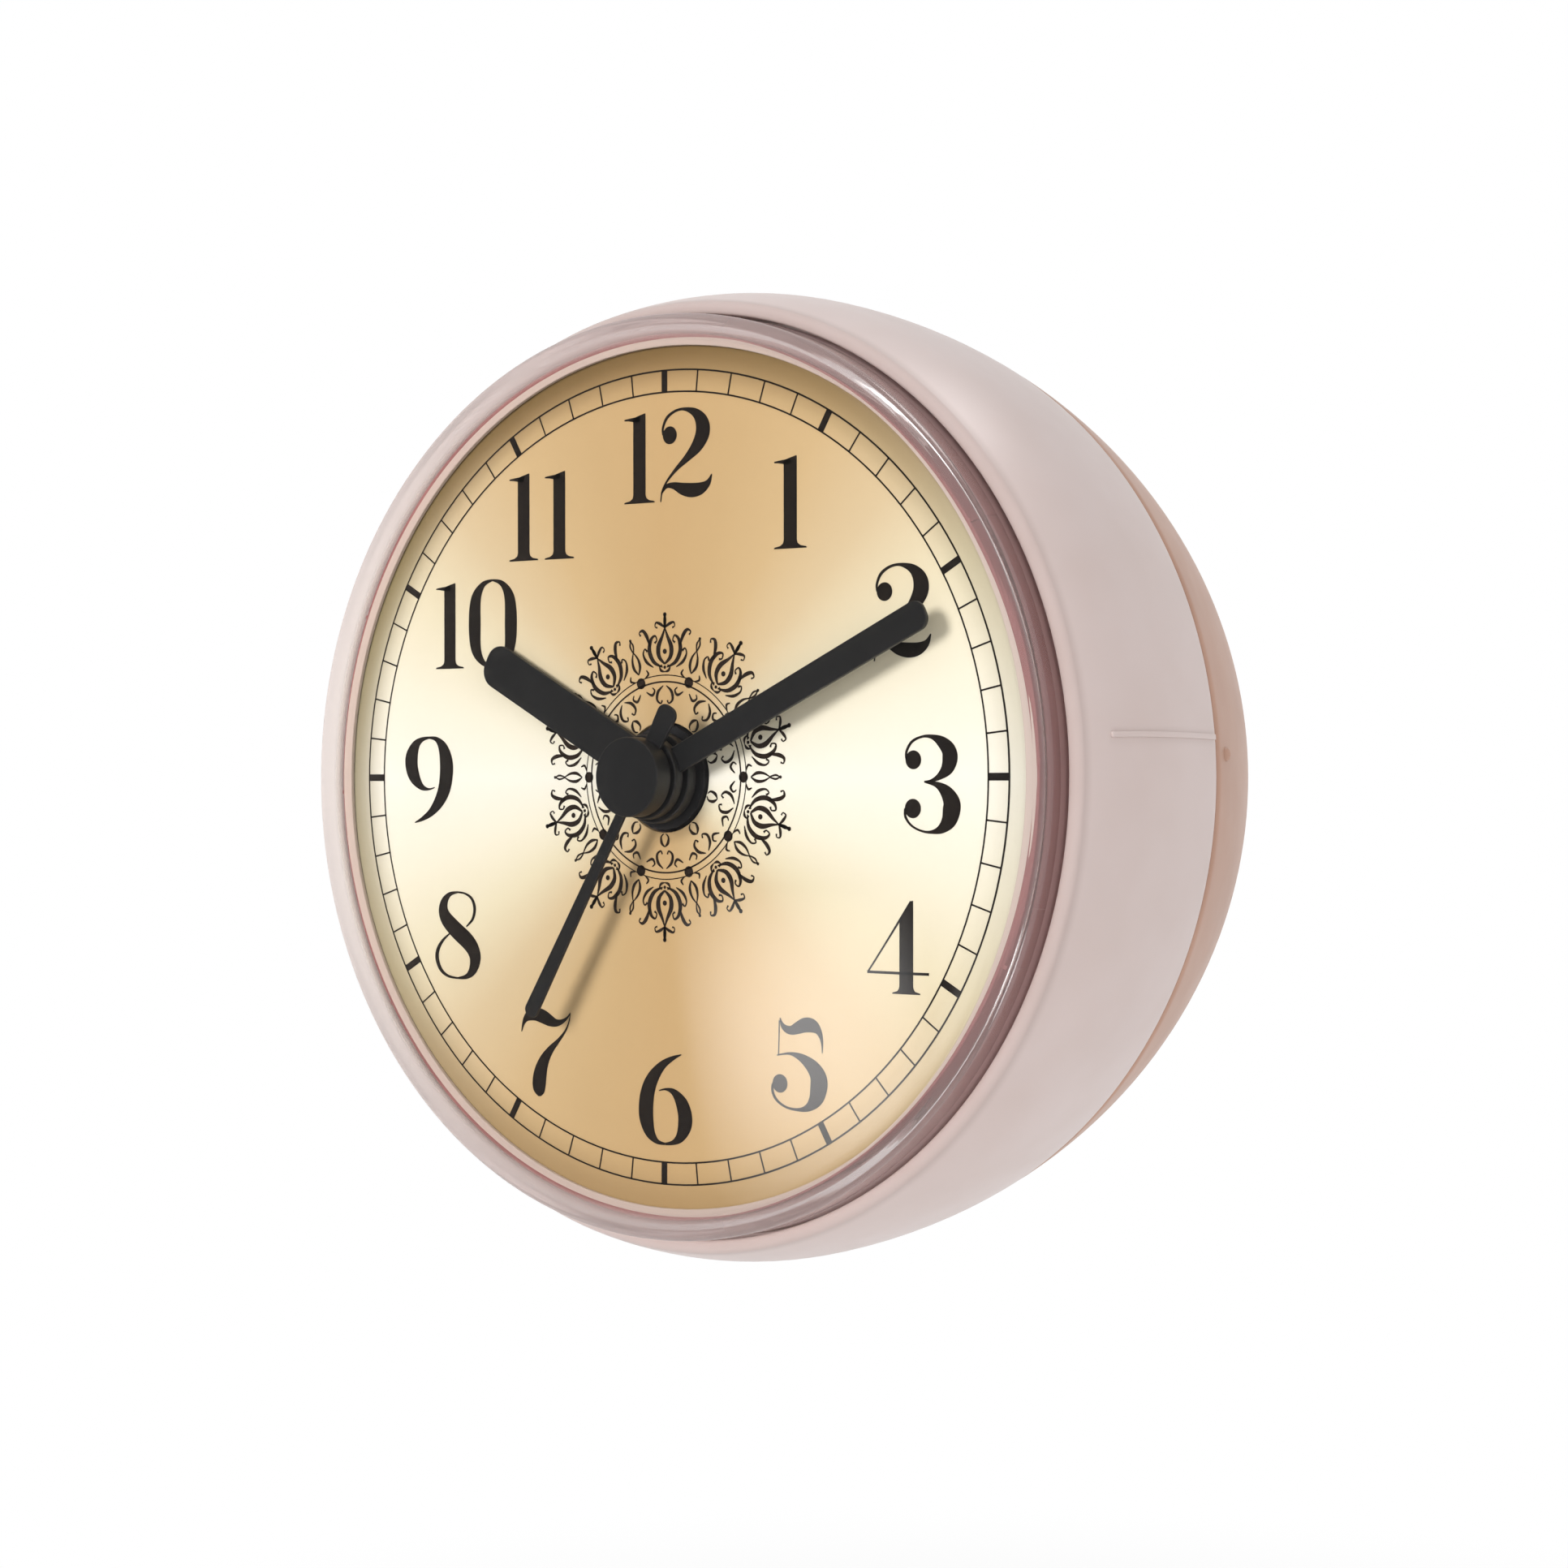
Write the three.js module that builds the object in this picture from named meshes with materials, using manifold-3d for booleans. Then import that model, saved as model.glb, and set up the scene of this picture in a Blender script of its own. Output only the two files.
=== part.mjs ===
// A small round shower clock that clings to a wall by a suction cup.
// Millimetres. Z is up, the dial faces -Y, and the wall is the plane Y = 0.
// Every piece is drawn along one depth scale: depth 0 is the printed face of the dial,
// negative depths are in front of it and positive depths run back towards the wall.

import * as THREE from 'three';
import { mergeVertices } from 'three/addons/utils/BufferGeometryUtils.js';
import Module from 'manifold-3d';

const wasm = await Module();
wasm.setup();

// Overall outline: an ellipse of revolution, steeper in front of its widest ring than behind it
const caseMargin = 5.79;
const widestDepth = 9;
const frontLength = 30;
const rearLength = 44.8;
const lipDepth = 0.5;
const seamDepth = 19.4;
const seamGap = 0.2;
const edgeRound = 0.7;
const backDepth = 41.5;
const cupStand = 4.5;

// Running and seating clearances
const seatGap = 0.05;
const runningGap = 0.08;
const axialGap = 0.3;

// How deep joined shapes sink into each other, and how far a cut runs past what it cuts
const sink = 0.05;
const rootSink = 0.3;
const past = 1;

// Front cap, gasket, dial and dial ring
const lipWidth = 0.9;
const capClearance = 0.2;
const capWall = 1.0;
const capCrest = 2.6;
const capFoot = 2.4;
const domeHeight = 6.5;
const domeThickness = 1.2;
const domeInset = 2.35;
const domeSteps = 5;
const crestRound = 0.6;
const gasketThickness = 0.9;
const ringWidth = 0.75;
const ringLip = 0.5;
const ringRise = 0.35;
const ringFoot = 1.7;
const ringDraft = 0.5;
const ringClearance = 0.15;
const dialClearance = 0.1;
const dialThickness = 0.4;

// Body shell
const webThickness = 1.75;
const shellWall = 2.2;
const shoulderDepth = 5.2;
const shoulderWidth = 3;
const shoulderSlope = 0.6;
const lipRound = 0.5;
const pilotFloor = 0.4;
const hubHoleRadius = 4.2;
const towerRadius = 2.2;
const towerReach = 3.4;
const towerZ = 3;
const markAngle = 85.4;
const markHeight = 0.18;
const markWidth = 0.4;
const markStart = 3;
const pipRadius = 0.55;
const pipSetback = 1.9;
const pipTurn = 2.7;

// Bayonet between the body shell and the rear cover
const bayonetCount = 3;
const spigotLength = 5.8;
const spigotWall = 1.8;
const spigotClearance = 0.3;
const ledgeReach = 1.2;
const lugThickness = 1.5;
const ledgeThickness = 1.2;
const lugAngle = 30;
const ledgeAngle = 32;
const unlockAngle = 35;
const stopAngle = 4;
const stopPlay = 0.5;
const bayonetCentre = 60;
const rearGasketThickness = 1.25;
const gasketStandOff = 0.4;

// Rear cover and suction cup
const coverWall = 2.1;
const dishRadius = 24;
const dishDepth = 1.3;
const floorThickness = 1.8;
const backEdge = 1;
const dishSlope = 0.6;
const spigotBlend = 2.5;
const cornerWidth = 2.6;
const stemRadius = 4;
const stemGap = 0.2;
const headRadius = 5.6;
const headThickness = 1.9;
const socketWall = 1.4;
const cupRadius = 22.5;
const cupLipWidth = 1.5;
const cupHollow = 2.2;
const cupFlare = 0.3;
const cupCrown = 0.7;
const cupEdge = 0.5;
const headRound = 0.8;

// Movement case, along X and Z about the hand axis
const moveFront = 2.4;
const moveSplit = 9;
const moveBack = 15.4;
const contactRoom = 0.95;
const moveTop = 18.2;
const moveBottom = 20.8;
const moveWall = 1.0;
const movePlate = 1.2;
const earSetback = 4.2;
const earThickness = 1.6;
const earHalfHeight = 3;
const moveCorner = 3;
const innerCorner = 1.2;
const hubRadius = 4.0;
const hubFront = 0.2;

// Battery, a standard R03 cell
const cellRadius = 5.25;
const cellLength = 44.5;
const cellNub = 1.9;
const nubLength = 0.9;
const cellSides = 32;
const cellRise = 0.35;
const bayGap = 0.35;
const bayWall = 0.8;
const contactThickness = 0.3;
const contactHalfDepth = 4;
const contactHalfHeight = 3.4;
const dimpleTop = 0.6;
const dimpleFoot = 1.4;

// Wheel train: tooth counts and modules
const trainModule = 0.2;
const motionModule = 0.3;
const meshSlack = 0.04;
const pressureAngle = 20;
const toothAddendum = 0.8;
const toothDedendum = 1.1;
const toothThinning = 0.16;
const secondPinionTeeth = 8;
const thirdTeeth = 60;
const thirdPinionTeeth = 8;
const centreTeeth = 64;
const secondTeeth = 48;
const fifthPinionTeeth = 8;
const fifthTeeth = 40;
const rotorTeeth = 8;
const cannonTeeth = 12;
const motionTeeth = 36;
const motionPinionTeeth = 10;
const hourTeeth = 40;
const knobTeeth = 12;

// Levels of the wheels, each the front face of a wheel that is wheelThickness deep
const wheelThickness = 0.55;
const pinionExtra = 0.2;
const pinionReach = 0.1;
const pivotPlay = 0.15;
const handSeat = 0.2;
const hourLevel = 3.95;
const motionLevel = 5.25;
const centreLevel = 6.3;
const middlePlateLevel = 7.35;
const middlePlateThickness = 0.6;
const middleLeft = -12;
const middleRight = 12.6;
const middleTop = 11.2;
const middleCorner = 2;
const middlePostRise = 0.4;
const middlePostSide = 3;
const middlePostLeft = 7.5;
const middlePostRadius = 0.9;
const thirdLevel = 8.4;
const secondLevel = 9.6;
const fifthLevel = 10.8;
const bossLevel = 12;
const pivotRadius = 0.4;
const pivotDepth = 0.7;
const bossRadius = 1.25;

// Directions of the arbors, in degrees clockwise from twelve seen from the front
const thirdDirection = 60;
const fifthDirection = -10;
const rotorDirection = -40;
const motionDirection = -90;
const knobDirection = -110;

// Hands
const secondArborRadius = 0.5;
const minutePipeWall = 0.7;
const hourPipeWall = 0.7;
const hourHandAngle = 298.5;
const minuteHandAngle = 65;
const secondHandAngle = 210.5;
const hourTip = 1.6;
const minuteTip = 1.2;
const secondTip = 1;
const tipShare = 0.35;
const secondCap = 0.5;
const bossSides = 32;
const hourHand = { length: 19.5, width: 3.4, level: -0.6, thickness: 0.5, boss: 3.5, front: -1.5 };
const minuteHand = { length: 27.8, width: 2.2, level: -1.8, thickness: 0.4, boss: 3.2, front: -2.7 };
const secondHand = { length: 21.3, width: 1.3, level: -3.0, thickness: 0.3, boss: 3.0, front: -4.6 };
const secondTail = 6.1;
const tailWidth = 1.9;

// Rotor, stator and coil
const magnetRadius = 1.1;
const magnetLength = 1.2;
const rotorGap = 0.6;
const statorLevel = 8.75;
const statorThickness = 0.7;
const statorLeft = 14;
const statorRight = 0.9;
const statorFoot = 2.2;
const statorCorner = 0.4;
const sideBar = 2;
const rotorBar = 2.6;
const windowGap = 0.4;
const coilZ = 14.2;
const coilRadius = 2.3;
const coilLength = 10.6;
const coreWidth = 1.2;
const bobbinFlange = 0.6;
const bobbinWall = 0.4;
const windingInset = 0.25;

// Circuit board, setting knob and screws
const boardThickness = 0.8;
const boardLevel = 10;
const boardWidth = 10.4;
const boardHeight = 12.4;
const boardCorner = 0.5;
const boardOffset = 2.6;
const crystalRadius = 0.75;
const crystalLength = 5;
const crystalInset = 2;
const blobRadius = 2.2;
const blobHeight = 1;
const boardMargin = 0.4;
const boardPostInset = 1.4;
const boardPostShift = 5;
const boardPostRadius = 1;
const knobRadius = 5;
const knobThickness = 3.6;
const knobShaftRadius = 1.2;
const knobNotches = 16;
const notchRadius = 0.4;
const notchSides = 6;
const knobSides = 32;
const columnRadius = 1.9;
const columnSink = 0.4;
const screwHeadRadius = 1.8;
const screwHeadThickness = 1.2;
const screwRadius = 0.9;
const freeClearance = 0.2;
const pilotDepth = 4.4;
const towerScrewLength = 5.2;
const slotWidth = 0.5;
const slotDepth = 0.5;

// Facets round each circle
const wideSides = 40;
const cupSides = 32;
const smallSides = 20;
const pinSides = 8;
const gasketSides = 6;
const outlineSteps = 5;

// Sizes that follow from the ones above; the cell sets the width of the movement and the case goes round it
const moveHalfWidth = cellLength / 2 + contactRoom + moveWall;
const caseRadius = Math.hypot(moveHalfWidth, moveBottom) + caseMargin;
const towerX = moveHalfWidth + towerReach;
const wallDepth = backDepth + cupStand;
const spigotFront = seamDepth - spigotLength;
const boreRadius = caseRadius * Math.sqrt(1 - ((lipDepth - widestDepth) / frontLength) ** 2) - lipWidth;
const capRadius = boreRadius - capClearance;
const capInner = capRadius - capWall;
const ringOuter = capInner - ringClearance;
const ringInner = ringOuter - ringWidth;
const dialRadius = ringInner - dialClearance;
const ringLipRadius = dialRadius - ringLip;
const webFront = dialThickness + seatGap;
const webRear = webFront + webThickness;
const gasketSeat = capFoot + gasketThickness + 2 * seatGap;
const shellBore = outline(seamDepth) - shellWall;
const spigotRadius = shellBore - ledgeReach - spigotClearance;
const ledgeRadius = shellBore - ledgeReach;
const lugRadius = shellBore - spigotClearance;
const ledgeFront = spigotFront + lugThickness + axialGap;
const coverFront = seamDepth + seamGap;
const dishFloor = backDepth - dishDepth;
const innerBack = dishFloor - floorThickness;
const headFront = innerBack - axialGap - headThickness;
const socketFront = headFront - axialGap;
const secondPipeBore = secondArborRadius + runningGap;
const minutePipeRadius = secondPipeBore + minutePipeWall;
const minutePipeBore = minutePipeRadius + runningGap;
const hourPipeRadius = minutePipeBore + hourPipeWall;
const hubBore = hourPipeRadius + runningGap;
const plateRear = moveFront + movePlate;
const coverPlateFront = moveBack - movePlate;
const cellZ = -(moveBottom - moveWall - bayGap / 2 - cellRadius);
const cellDepth = coverPlateFront - cellRadius + cellRise;
const bayTop = cellZ + cellRadius + bayGap;
const thirdDistance = trainModule * (thirdPinionTeeth + centreTeeth) / 2 + meshSlack;
const thirdModule = 2 * (thirdDistance - meshSlack) / (secondPinionTeeth + thirdTeeth);
const fifthDistance = trainModule * (secondTeeth + fifthPinionTeeth) / 2 + meshSlack;
const rotorDistance = trainModule * (fifthTeeth + rotorTeeth) / 2 + meshSlack;
const motionDistance = motionModule * (cannonTeeth + motionTeeth) / 2 + meshSlack;
const hourModule = 2 * (motionDistance - meshSlack) / (motionPinionTeeth + hourTeeth);
const knobDistance = motionModule * (motionTeeth + knobTeeth) / 2 + meshSlack;

// Places of the arbors as { x, z }
const mainArbor = { x: 0, z: 0 };
const thirdArbor = stepFrom(mainArbor, thirdDirection, thirdDistance);
const fifthArbor = stepFrom(mainArbor, fifthDirection, fifthDistance);
const rotorArbor = stepFrom(fifthArbor, rotorDirection, rotorDistance);
const motionArbor = stepFrom(mainArbor, motionDirection, motionDistance);
const knobArbor = stepFrom(motionArbor, knobDirection, knobDistance);
const middleFoot = bayTop + bayWall + middlePostRadius + runningGap;
const middlePosts = [
  { x: middleLeft + middlePostRadius + runningGap, z: middleTop - middlePostSide },
  { x: middleRight - middlePostSide, z: middleFoot + middlePostRise },
  { x: middleLeft + middlePostLeft, z: middleFoot },
];
const boardLeft = thirdArbor.x + boardOffset;
const boardTop = moveTop - moveWall - boardMargin;
const earFront = moveFront + earSetback;
const earRear = earFront + earThickness;
const freeHole = screwRadius + freeClearance;
const towers = [{ x: -towerX, z: towerZ }, { x: towerX, z: towerZ }];
const columnInset = moveWall + columnRadius - columnSink;
const caseColumns = [-1, 1].flatMap((side) => [
  { x: side * (moveHalfWidth - columnInset), z: moveTop - columnInset },
  { x: side * (moveHalfWidth - columnInset), z: bayTop + bayWall + columnRadius - columnSink },
]);

// Radius of the outline at a depth
function outline(depth) {
  const length = depth < widestDepth ? frontLength : rearLength;
  return caseRadius * Math.sqrt(1 - ((depth - widestDepth) / length) ** 2);
}

// The point one step away from another, in a clock direction
function stepFrom(point, direction, distance) {
  const turn = THREE.MathUtils.degToRad(direction);
  return { x: point.x + distance * Math.sin(turn), z: point.z + distance * Math.cos(turn) };
}

// A closed solid from a geometry, with its shared corners merged and its faces turned outwards
function solidFrom(geometry) {
  const bare = geometry.clone();
  bare.deleteAttribute('normal');
  bare.deleteAttribute('uv');
  const merged = mergeVertices(bare, 1e-4);
  const places = merged.attributes.position.array;
  const kept = [];
  let volume = 0;
  for (let i = 0; i < merged.index.count; i += 3) {
    const [a, b, c] = [0, 1, 2].map((k) => merged.index.getX(i + k));
    if (a === b || b === c || a === c) continue;
    kept.push(a, b, c);
    const [p, q, r] = [a, b, c].map((v) => new THREE.Vector3().fromArray(places, 3 * v));
    volume += p.dot(q.cross(r));
  }
  if (volume < 0) kept.reverse();
  const vertProperties = new Float32Array(places);
  const triVerts = new Uint32Array(kept);
  return new wasm.Manifold(new wasm.Mesh({ numProp: 3, vertProperties, triVerts }));
}

// A mesh with flat faces from a finished solid
function meshFrom(name, solid, material, place = mainArbor, turn = 0) {
  const data = solid.getMesh();
  const geometry = new THREE.BufferGeometry();
  const places = new Float32Array(3 * data.numVert);
  for (let i = 0; i < data.numVert; i += 1) {
    for (let k = 0; k < 3; k += 1) places[3 * i + k] = data.vertProperties[i * data.numProp + k];
  }
  geometry.setAttribute('position', new THREE.BufferAttribute(places, 3));
  geometry.setIndex(new THREE.BufferAttribute(new Uint32Array(data.triVerts), 1));
  geometry.computeVertexNormals();
  const mesh = new THREE.Mesh(geometry, material);
  mesh.name = name;
  mesh.position.set(place.x, 0, place.z);
  mesh.rotation.y = THREE.MathUtils.degToRad(turn);
  return mesh;
}

// A solid of revolution about the hand axis, from its [radius, depth] points
function turned(points, sides = wideSides) {
  const profile = points.map(([radius, depth]) => new THREE.Vector2(radius, depth));
  if (points[0][0] > 0) profile.push(profile[0].clone());
  return solidFrom(new THREE.LatheGeometry(profile, sides));
}

// A round bar along the depth scale
function bar(radius, front, rear, place = mainArbor, sides = smallSides) {
  const geometry = new THREE.CylinderGeometry(radius, radius, rear - front, sides);
  return solidFrom(geometry.translate(place.x, (front + rear) / 2, place.z));
}

// A round tube along the depth scale
function tube(inner, outer, front, rear, sides = smallSides) {
  return turned([[inner, front], [outer, front], [outer, rear], [inner, rear]], sides);
}

// A flat plate from a shape drawn in X and Z
function plate(shape, front, rear, curveSegments = 6) {
  const geometry = new THREE.ExtrudeGeometry(shape, { depth: rear - front, bevelEnabled: false, curveSegments });
  return solidFrom(geometry.rotateX(Math.PI / 2).translate(0, rear, 0));
}

// A box between two corners, given as X, depth and Z ranges
function block([x0, x1], [front, rear], [z0, z1]) {
  const geometry = new THREE.BoxGeometry(x1 - x0, rear - front, z1 - z0);
  return solidFrom(geometry.translate((x0 + x1) / 2, (front + rear) / 2, (z0 + z1) / 2));
}

// A rectangle with round corners, as a shape in X and Z
function roundedRectangle(x0, x1, z0, z1, corner) {
  const shape = new THREE.Shape();
  shape.absarc(x1 - corner, z1 - corner, corner, 0, Math.PI / 2, false);
  shape.absarc(x0 + corner, z1 - corner, corner, Math.PI / 2, Math.PI, false);
  shape.absarc(x0 + corner, z0 + corner, corner, Math.PI, 1.5 * Math.PI, false);
  shape.absarc(x1 - corner, z0 + corner, corner, 1.5 * Math.PI, 2 * Math.PI, false);
  return shape;
}

// A piece of a ring, centred on a clock direction
function ringSector(inner, outer, direction, width, front, rear) {
  const middle = Math.PI / 2 - THREE.MathUtils.degToRad(direction);
  const half = THREE.MathUtils.degToRad(width / 2);
  const shape = new THREE.Shape();
  shape.absarc(0, 0, outer, middle - half, middle + half, false);
  shape.absarc(0, 0, inner, middle + half, middle - half, true);
  return plate(shape, front, rear);
}

function union(solids) {
  return solids.reduce((whole, solid) => whole.add(solid));
}

// Points of a spherical dome from the rim to the axis, both heights counted forward of the dial
function domePoints(rimRadius, rimHeight, height, count) {
  const rise = height - rimHeight;
  const sphere = (rimRadius ** 2 + rise ** 2) / (2 * rise);
  return Array.from({ length: count + 1 }, (_, i) => {
    const radius = rimRadius * (1 - i / count);
    return [radius, -height + sphere - Math.sqrt(sphere ** 2 - radius ** 2)];
  });
}

// Points of the outline between two depths, set in by a wall
function outlinePoints(from, to, count, wall = 0) {
  return Array.from({ length: count + 1 }, (_, i) => {
    const depth = from + (to - from) * i / count;
    return [outline(depth) - wall, depth];
  });
}

// A toothed wheel with straight-sided teeth, tooth 0 pointing to twelve
function toothed(teeth, module, front, rear, bore = 0) {
  const pitch = module * teeth / 2;
  const flank = Math.tan(THREE.MathUtils.degToRad(pressureAngle));
  const half = (Math.PI / 4 - toothThinning / 2) * module;
  const corners = [
    [pitch - toothDedendum * module, half + toothDedendum * module * flank],
    [pitch + toothAddendum * module, half - toothAddendum * module * flank],
  ];
  const shape = new THREE.Shape();
  for (let tooth = 0; tooth < teeth; tooth += 1) {
    const middle = Math.PI / 2 - 2 * Math.PI * tooth / teeth;
    for (const [radius, side] of [
      [corners[0][0], corners[0][1]], [corners[1][0], corners[1][1]],
      [corners[1][0], -corners[1][1]], [corners[0][0], -corners[0][1]],
    ]) {
      const angle = middle + side / radius;
      const point = [radius * Math.cos(angle), radius * Math.sin(angle)];
      if (tooth === 0 && radius === corners[0][0] && side > 0) shape.moveTo(...point);
      else shape.lineTo(...point);
    }
  }
  const wheel = plate(shape, front, rear);
  return bore > 0 ? wheel.subtract(bar(bore, front - past, rear + past)) : wheel;
}

// The turn that puts a second wheel's gap opposite a first wheel's tooth
function meshedTurn(firstTeeth, firstTurn, direction, secondWheelTeeth) {
  const firstPitch = 360 / firstTeeth;
  const secondPitch = 360 / secondWheelTeeth;
  const phase = (direction - firstTurn) / firstPitch;
  return direction + 180 - secondPitch * (0.5 - phase);
}

// Turns of every wheel at rest, from the seconds arbor outwards
const secondTurn = 0;
const thirdTurn = meshedTurn(secondPinionTeeth, secondTurn, thirdDirection, thirdTeeth);
const centreTurn = meshedTurn(thirdPinionTeeth, thirdTurn, thirdDirection + 180, centreTeeth);
const fifthTurn = meshedTurn(secondTeeth, secondTurn, fifthDirection, fifthPinionTeeth);
const rotorTurn = meshedTurn(fifthTeeth, fifthTurn, rotorDirection, rotorTeeth);
const cannonTurn = 0;
const motionTurn = meshedTurn(cannonTeeth, cannonTurn, motionDirection, motionTeeth);
const hourTurn = meshedTurn(motionPinionTeeth, motionTurn, motionDirection + 180, hourTeeth);
const knobTurn = meshedTurn(motionTeeth, motionTurn, knobDirection, knobTeeth);

// Finishes
function finish(color, roughness, metalness = 0) {
  return new THREE.MeshStandardMaterial({ color, roughness, metalness });
}

const shellPink = finish(0xd6c7c0, 0.42);
const coverTan = finish(0xbb9683, 0.45);
const clearPlastic = finish(0xf2eef0, 0.05);
const siliconeWhite = finish(0xe8e4e0, 0.6);
const ringPlum = finish(0x8f6d6b, 0.4);
const dialGold = finish(0xe0c896, 0.35, 0.6);
const handBlack = finish(0x202020, 0.55);
const movementBlack = finish(0x2b2b2d, 0.6);
const wheelWhite = finish(0xe9e6dc, 0.5);
const steel = finish(0xb9bcc0, 0.3, 1);
const copper = finish(0xb06a3a, 0.35, 1);
const boardGreen = finish(0x2f6b45, 0.5);
const cellBlue = finish(0x4d5f73, 0.35, 0.4);
const softClear = finish(0xe6e9ea, 0.2);

// Front cap: a clear dome and a clear rim in one moulding
function frontLens() {
  const innerInset = domeInset - crestRound - 0.15;
  const outer = domePoints(capRadius - domeInset, capCrest + crestRound, domeHeight, domeSteps).reverse();
  const inner = domePoints(capInner - innerInset, capCrest - crestRound, domeHeight - domeThickness, domeSteps);
  return turned([
    ...outer,
    [capRadius - domeInset / 2, -(capCrest + crestRound / 2)],
    [capRadius - crestRound * 0.75, -capCrest],
    [capRadius, -(capCrest - crestRound)],
    [capRadius, capFoot],
    [capInner, capFoot],
    [capInner, -(capCrest - 2 * crestRound)],
    [capInner - crestRound, -(capCrest - crestRound)],
    ...inner,
  ]);
}

// Round sealing ring under the foot of the cap
function lensGasket() {
  return sealingRing((capRadius + capInner) / 2, capFoot + seatGap + gasketThickness / 2, gasketThickness / 2);
}

function sealingRing(radius, depth, section) {
  const points = Array.from({ length: gasketSides }, (_, i) => {
    const turn = 2 * Math.PI * i / gasketSides;
    return [radius + section * Math.cos(turn), depth + section * Math.sin(turn)];
  });
  return turned(points);
}

// Plum ring that frames the dial and holds it down by a thin lip
function dialRing() {
  return turned([
    [ringLipRadius, -ringRise],
    [ringOuter - ringDraft, -ringRise],
    [ringOuter, ringFoot],
    [ringInner, ringFoot],
    [ringInner, -seatGap],
    [ringLipRadius, -seatGap],
  ]);
}

function dialPlate() {
  return tube(hubHoleRadius, dialRadius, 0, dialThickness, wideSides);
}

// Body shell: the pale ring, the web behind the dial and the bayonet ledges
function bodyShell() {
  const shell = turned([
    [boreRadius, lipDepth + lipRound],
    [boreRadius + lipRound, lipDepth],
    ...outlinePoints(lipDepth + lipRound / 2, seamDepth - edgeRound, outlineSteps),
    ...seamEdge(seamDepth, -edgeRound),
    [shellBore, seamDepth],
    [shellBore, shoulderDepth],
    [shellBore - shoulderWidth, shoulderDepth - shoulderSlope],
    [shellBore - shoulderWidth, webRear],
    [hubHoleRadius, webRear],
    [hubHoleRadius, webFront],
    [dialRadius, webFront],
    [dialRadius, ringFoot + seatGap],
    [capInner - ringClearance, ringFoot + seatGap],
    [capInner - ringClearance, gasketSeat],
    [boreRadius, gasketSeat],
  ]);
  const posts = towers.map((place) => bar(towerRadius, webRear - sink, earFront - seatGap, place));
  const pilots = towers.map((place) =>
    bar(screwRadius + seatGap, webRear + pilotFloor, earFront + past, place, pinSides));
  return union([shell, ...posts, ...bodyBayonet(), indexRib()]).subtract(union(pilots));
}

// The rounded edge where the outline meets the seam; a negative round lies in front of it
function seamEdge(depth, round) {
  const radius = outline(depth);
  return [
    [radius - Math.abs(round) / 3, depth + round / 3],
    [radius - Math.abs(round) * 1.4, depth],
  ];
}

// Ledges that the cover's lugs turn behind, with a stop at each end of the turn
function bodyBayonet() {
  const root = shellBore + rootSink;
  const pieces = [];
  for (let i = 0; i < bayonetCount; i += 1) {
    const middle = bayonetCentre + 360 * i / bayonetCount;
    pieces.push(ringSector(ledgeRadius, root, middle, ledgeAngle, ledgeFront, ledgeFront + ledgeThickness));
    const lockStop = middle - lugAngle / 2 - stopAngle / 2 - stopPlay;
    const openStop = middle + unlockAngle + lugAngle / 2 + stopAngle / 2 + stopPlay;
    for (const stop of [lockStop, openStop]) {
      pieces.push(ringSector(ledgeRadius, root, stop, stopAngle, spigotFront, ledgeFront + seatGap));
    }
  }
  return pieces;
}

// Fine raised line along the right side of the shell, the mark for lining up the cover
function indexRib() {
  const raised = outlinePoints(lipDepth + markStart, seamDepth - edgeRound, outlineSteps, -markHeight);
  const buried = outlinePoints(seamDepth - edgeRound, lipDepth + markStart, outlineSteps, rootSink);
  const shape = new THREE.Shape([...raised, ...buried].map(([radius, depth]) => new THREE.Vector2(radius, depth)));
  const geometry = new THREE.ExtrudeGeometry(shape, { depth: markWidth, bevelEnabled: false });
  geometry.translate(0, 0, -markWidth / 2);
  return solidFrom(geometry.rotateY(THREE.MathUtils.degToRad(markAngle - 90)));
}

// Rear cover: the tan dome, its spigot and lugs, the dish and the socket for the cup
function rearCover() {
  const shell = turned([
    [0, socketFront],
    [headRadius + axialGap, socketFront],
    [headRadius + axialGap, innerBack],
    [stemRadius + stemGap, innerBack],
    [stemRadius + stemGap, dishFloor],
    [dishRadius - dishSlope, dishFloor],
    [dishRadius, backDepth],
    [outline(backDepth) - backEdge, backDepth],
    ...outlinePoints(backDepth - backEdge / 2, coverFront + edgeRound, outlineSteps),
    ...seamEdge(coverFront, edgeRound),
    [spigotRadius, coverFront],
    [spigotRadius, spigotFront],
    [spigotRadius - spigotWall, spigotFront],
    [spigotRadius - spigotWall, coverFront + spigotBlend],
    ...outlinePoints(coverFront + 2 * spigotBlend, innerBack - coverWall, outlineSteps - 2, coverWall),
    [outline(innerBack) - coverWall - cornerWidth, innerBack - sink],
    [headRadius + axialGap + socketWall, innerBack - sink],
    [headRadius + axialGap + socketWall, socketFront - socketWall],
    [0, socketFront - socketWall],
  ]);
  const lugs = [];
  for (let i = 0; i < bayonetCount; i += 1) {
    const middle = bayonetCentre + 360 * i / bayonetCount;
    lugs.push(ringSector(spigotRadius - rootSink, lugRadius, middle, lugAngle,
      spigotFront, spigotFront + lugThickness));
  }
  return union([shell, ...lugs, indexPip()]);
}

// Small raised pip on the cover's shoulder, beside the line on the shell
function indexPip() {
  const depth = coverFront + pipSetback;
  const pip = new THREE.SphereGeometry(pipRadius, 10, 6);
  pip.scale(0.6, 1, 1);
  pip.translate(outline(depth), depth, 0);
  return solidFrom(pip.rotateY(THREE.MathUtils.degToRad(-pipTurn)));
}

function rearGasket() {
  const section = rearGasketThickness / 2;
  const depth = ledgeFront + ledgeThickness + gasketStandOff + section;
  return sealingRing(spigotRadius + seatGap + section, depth, section);
}

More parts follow.
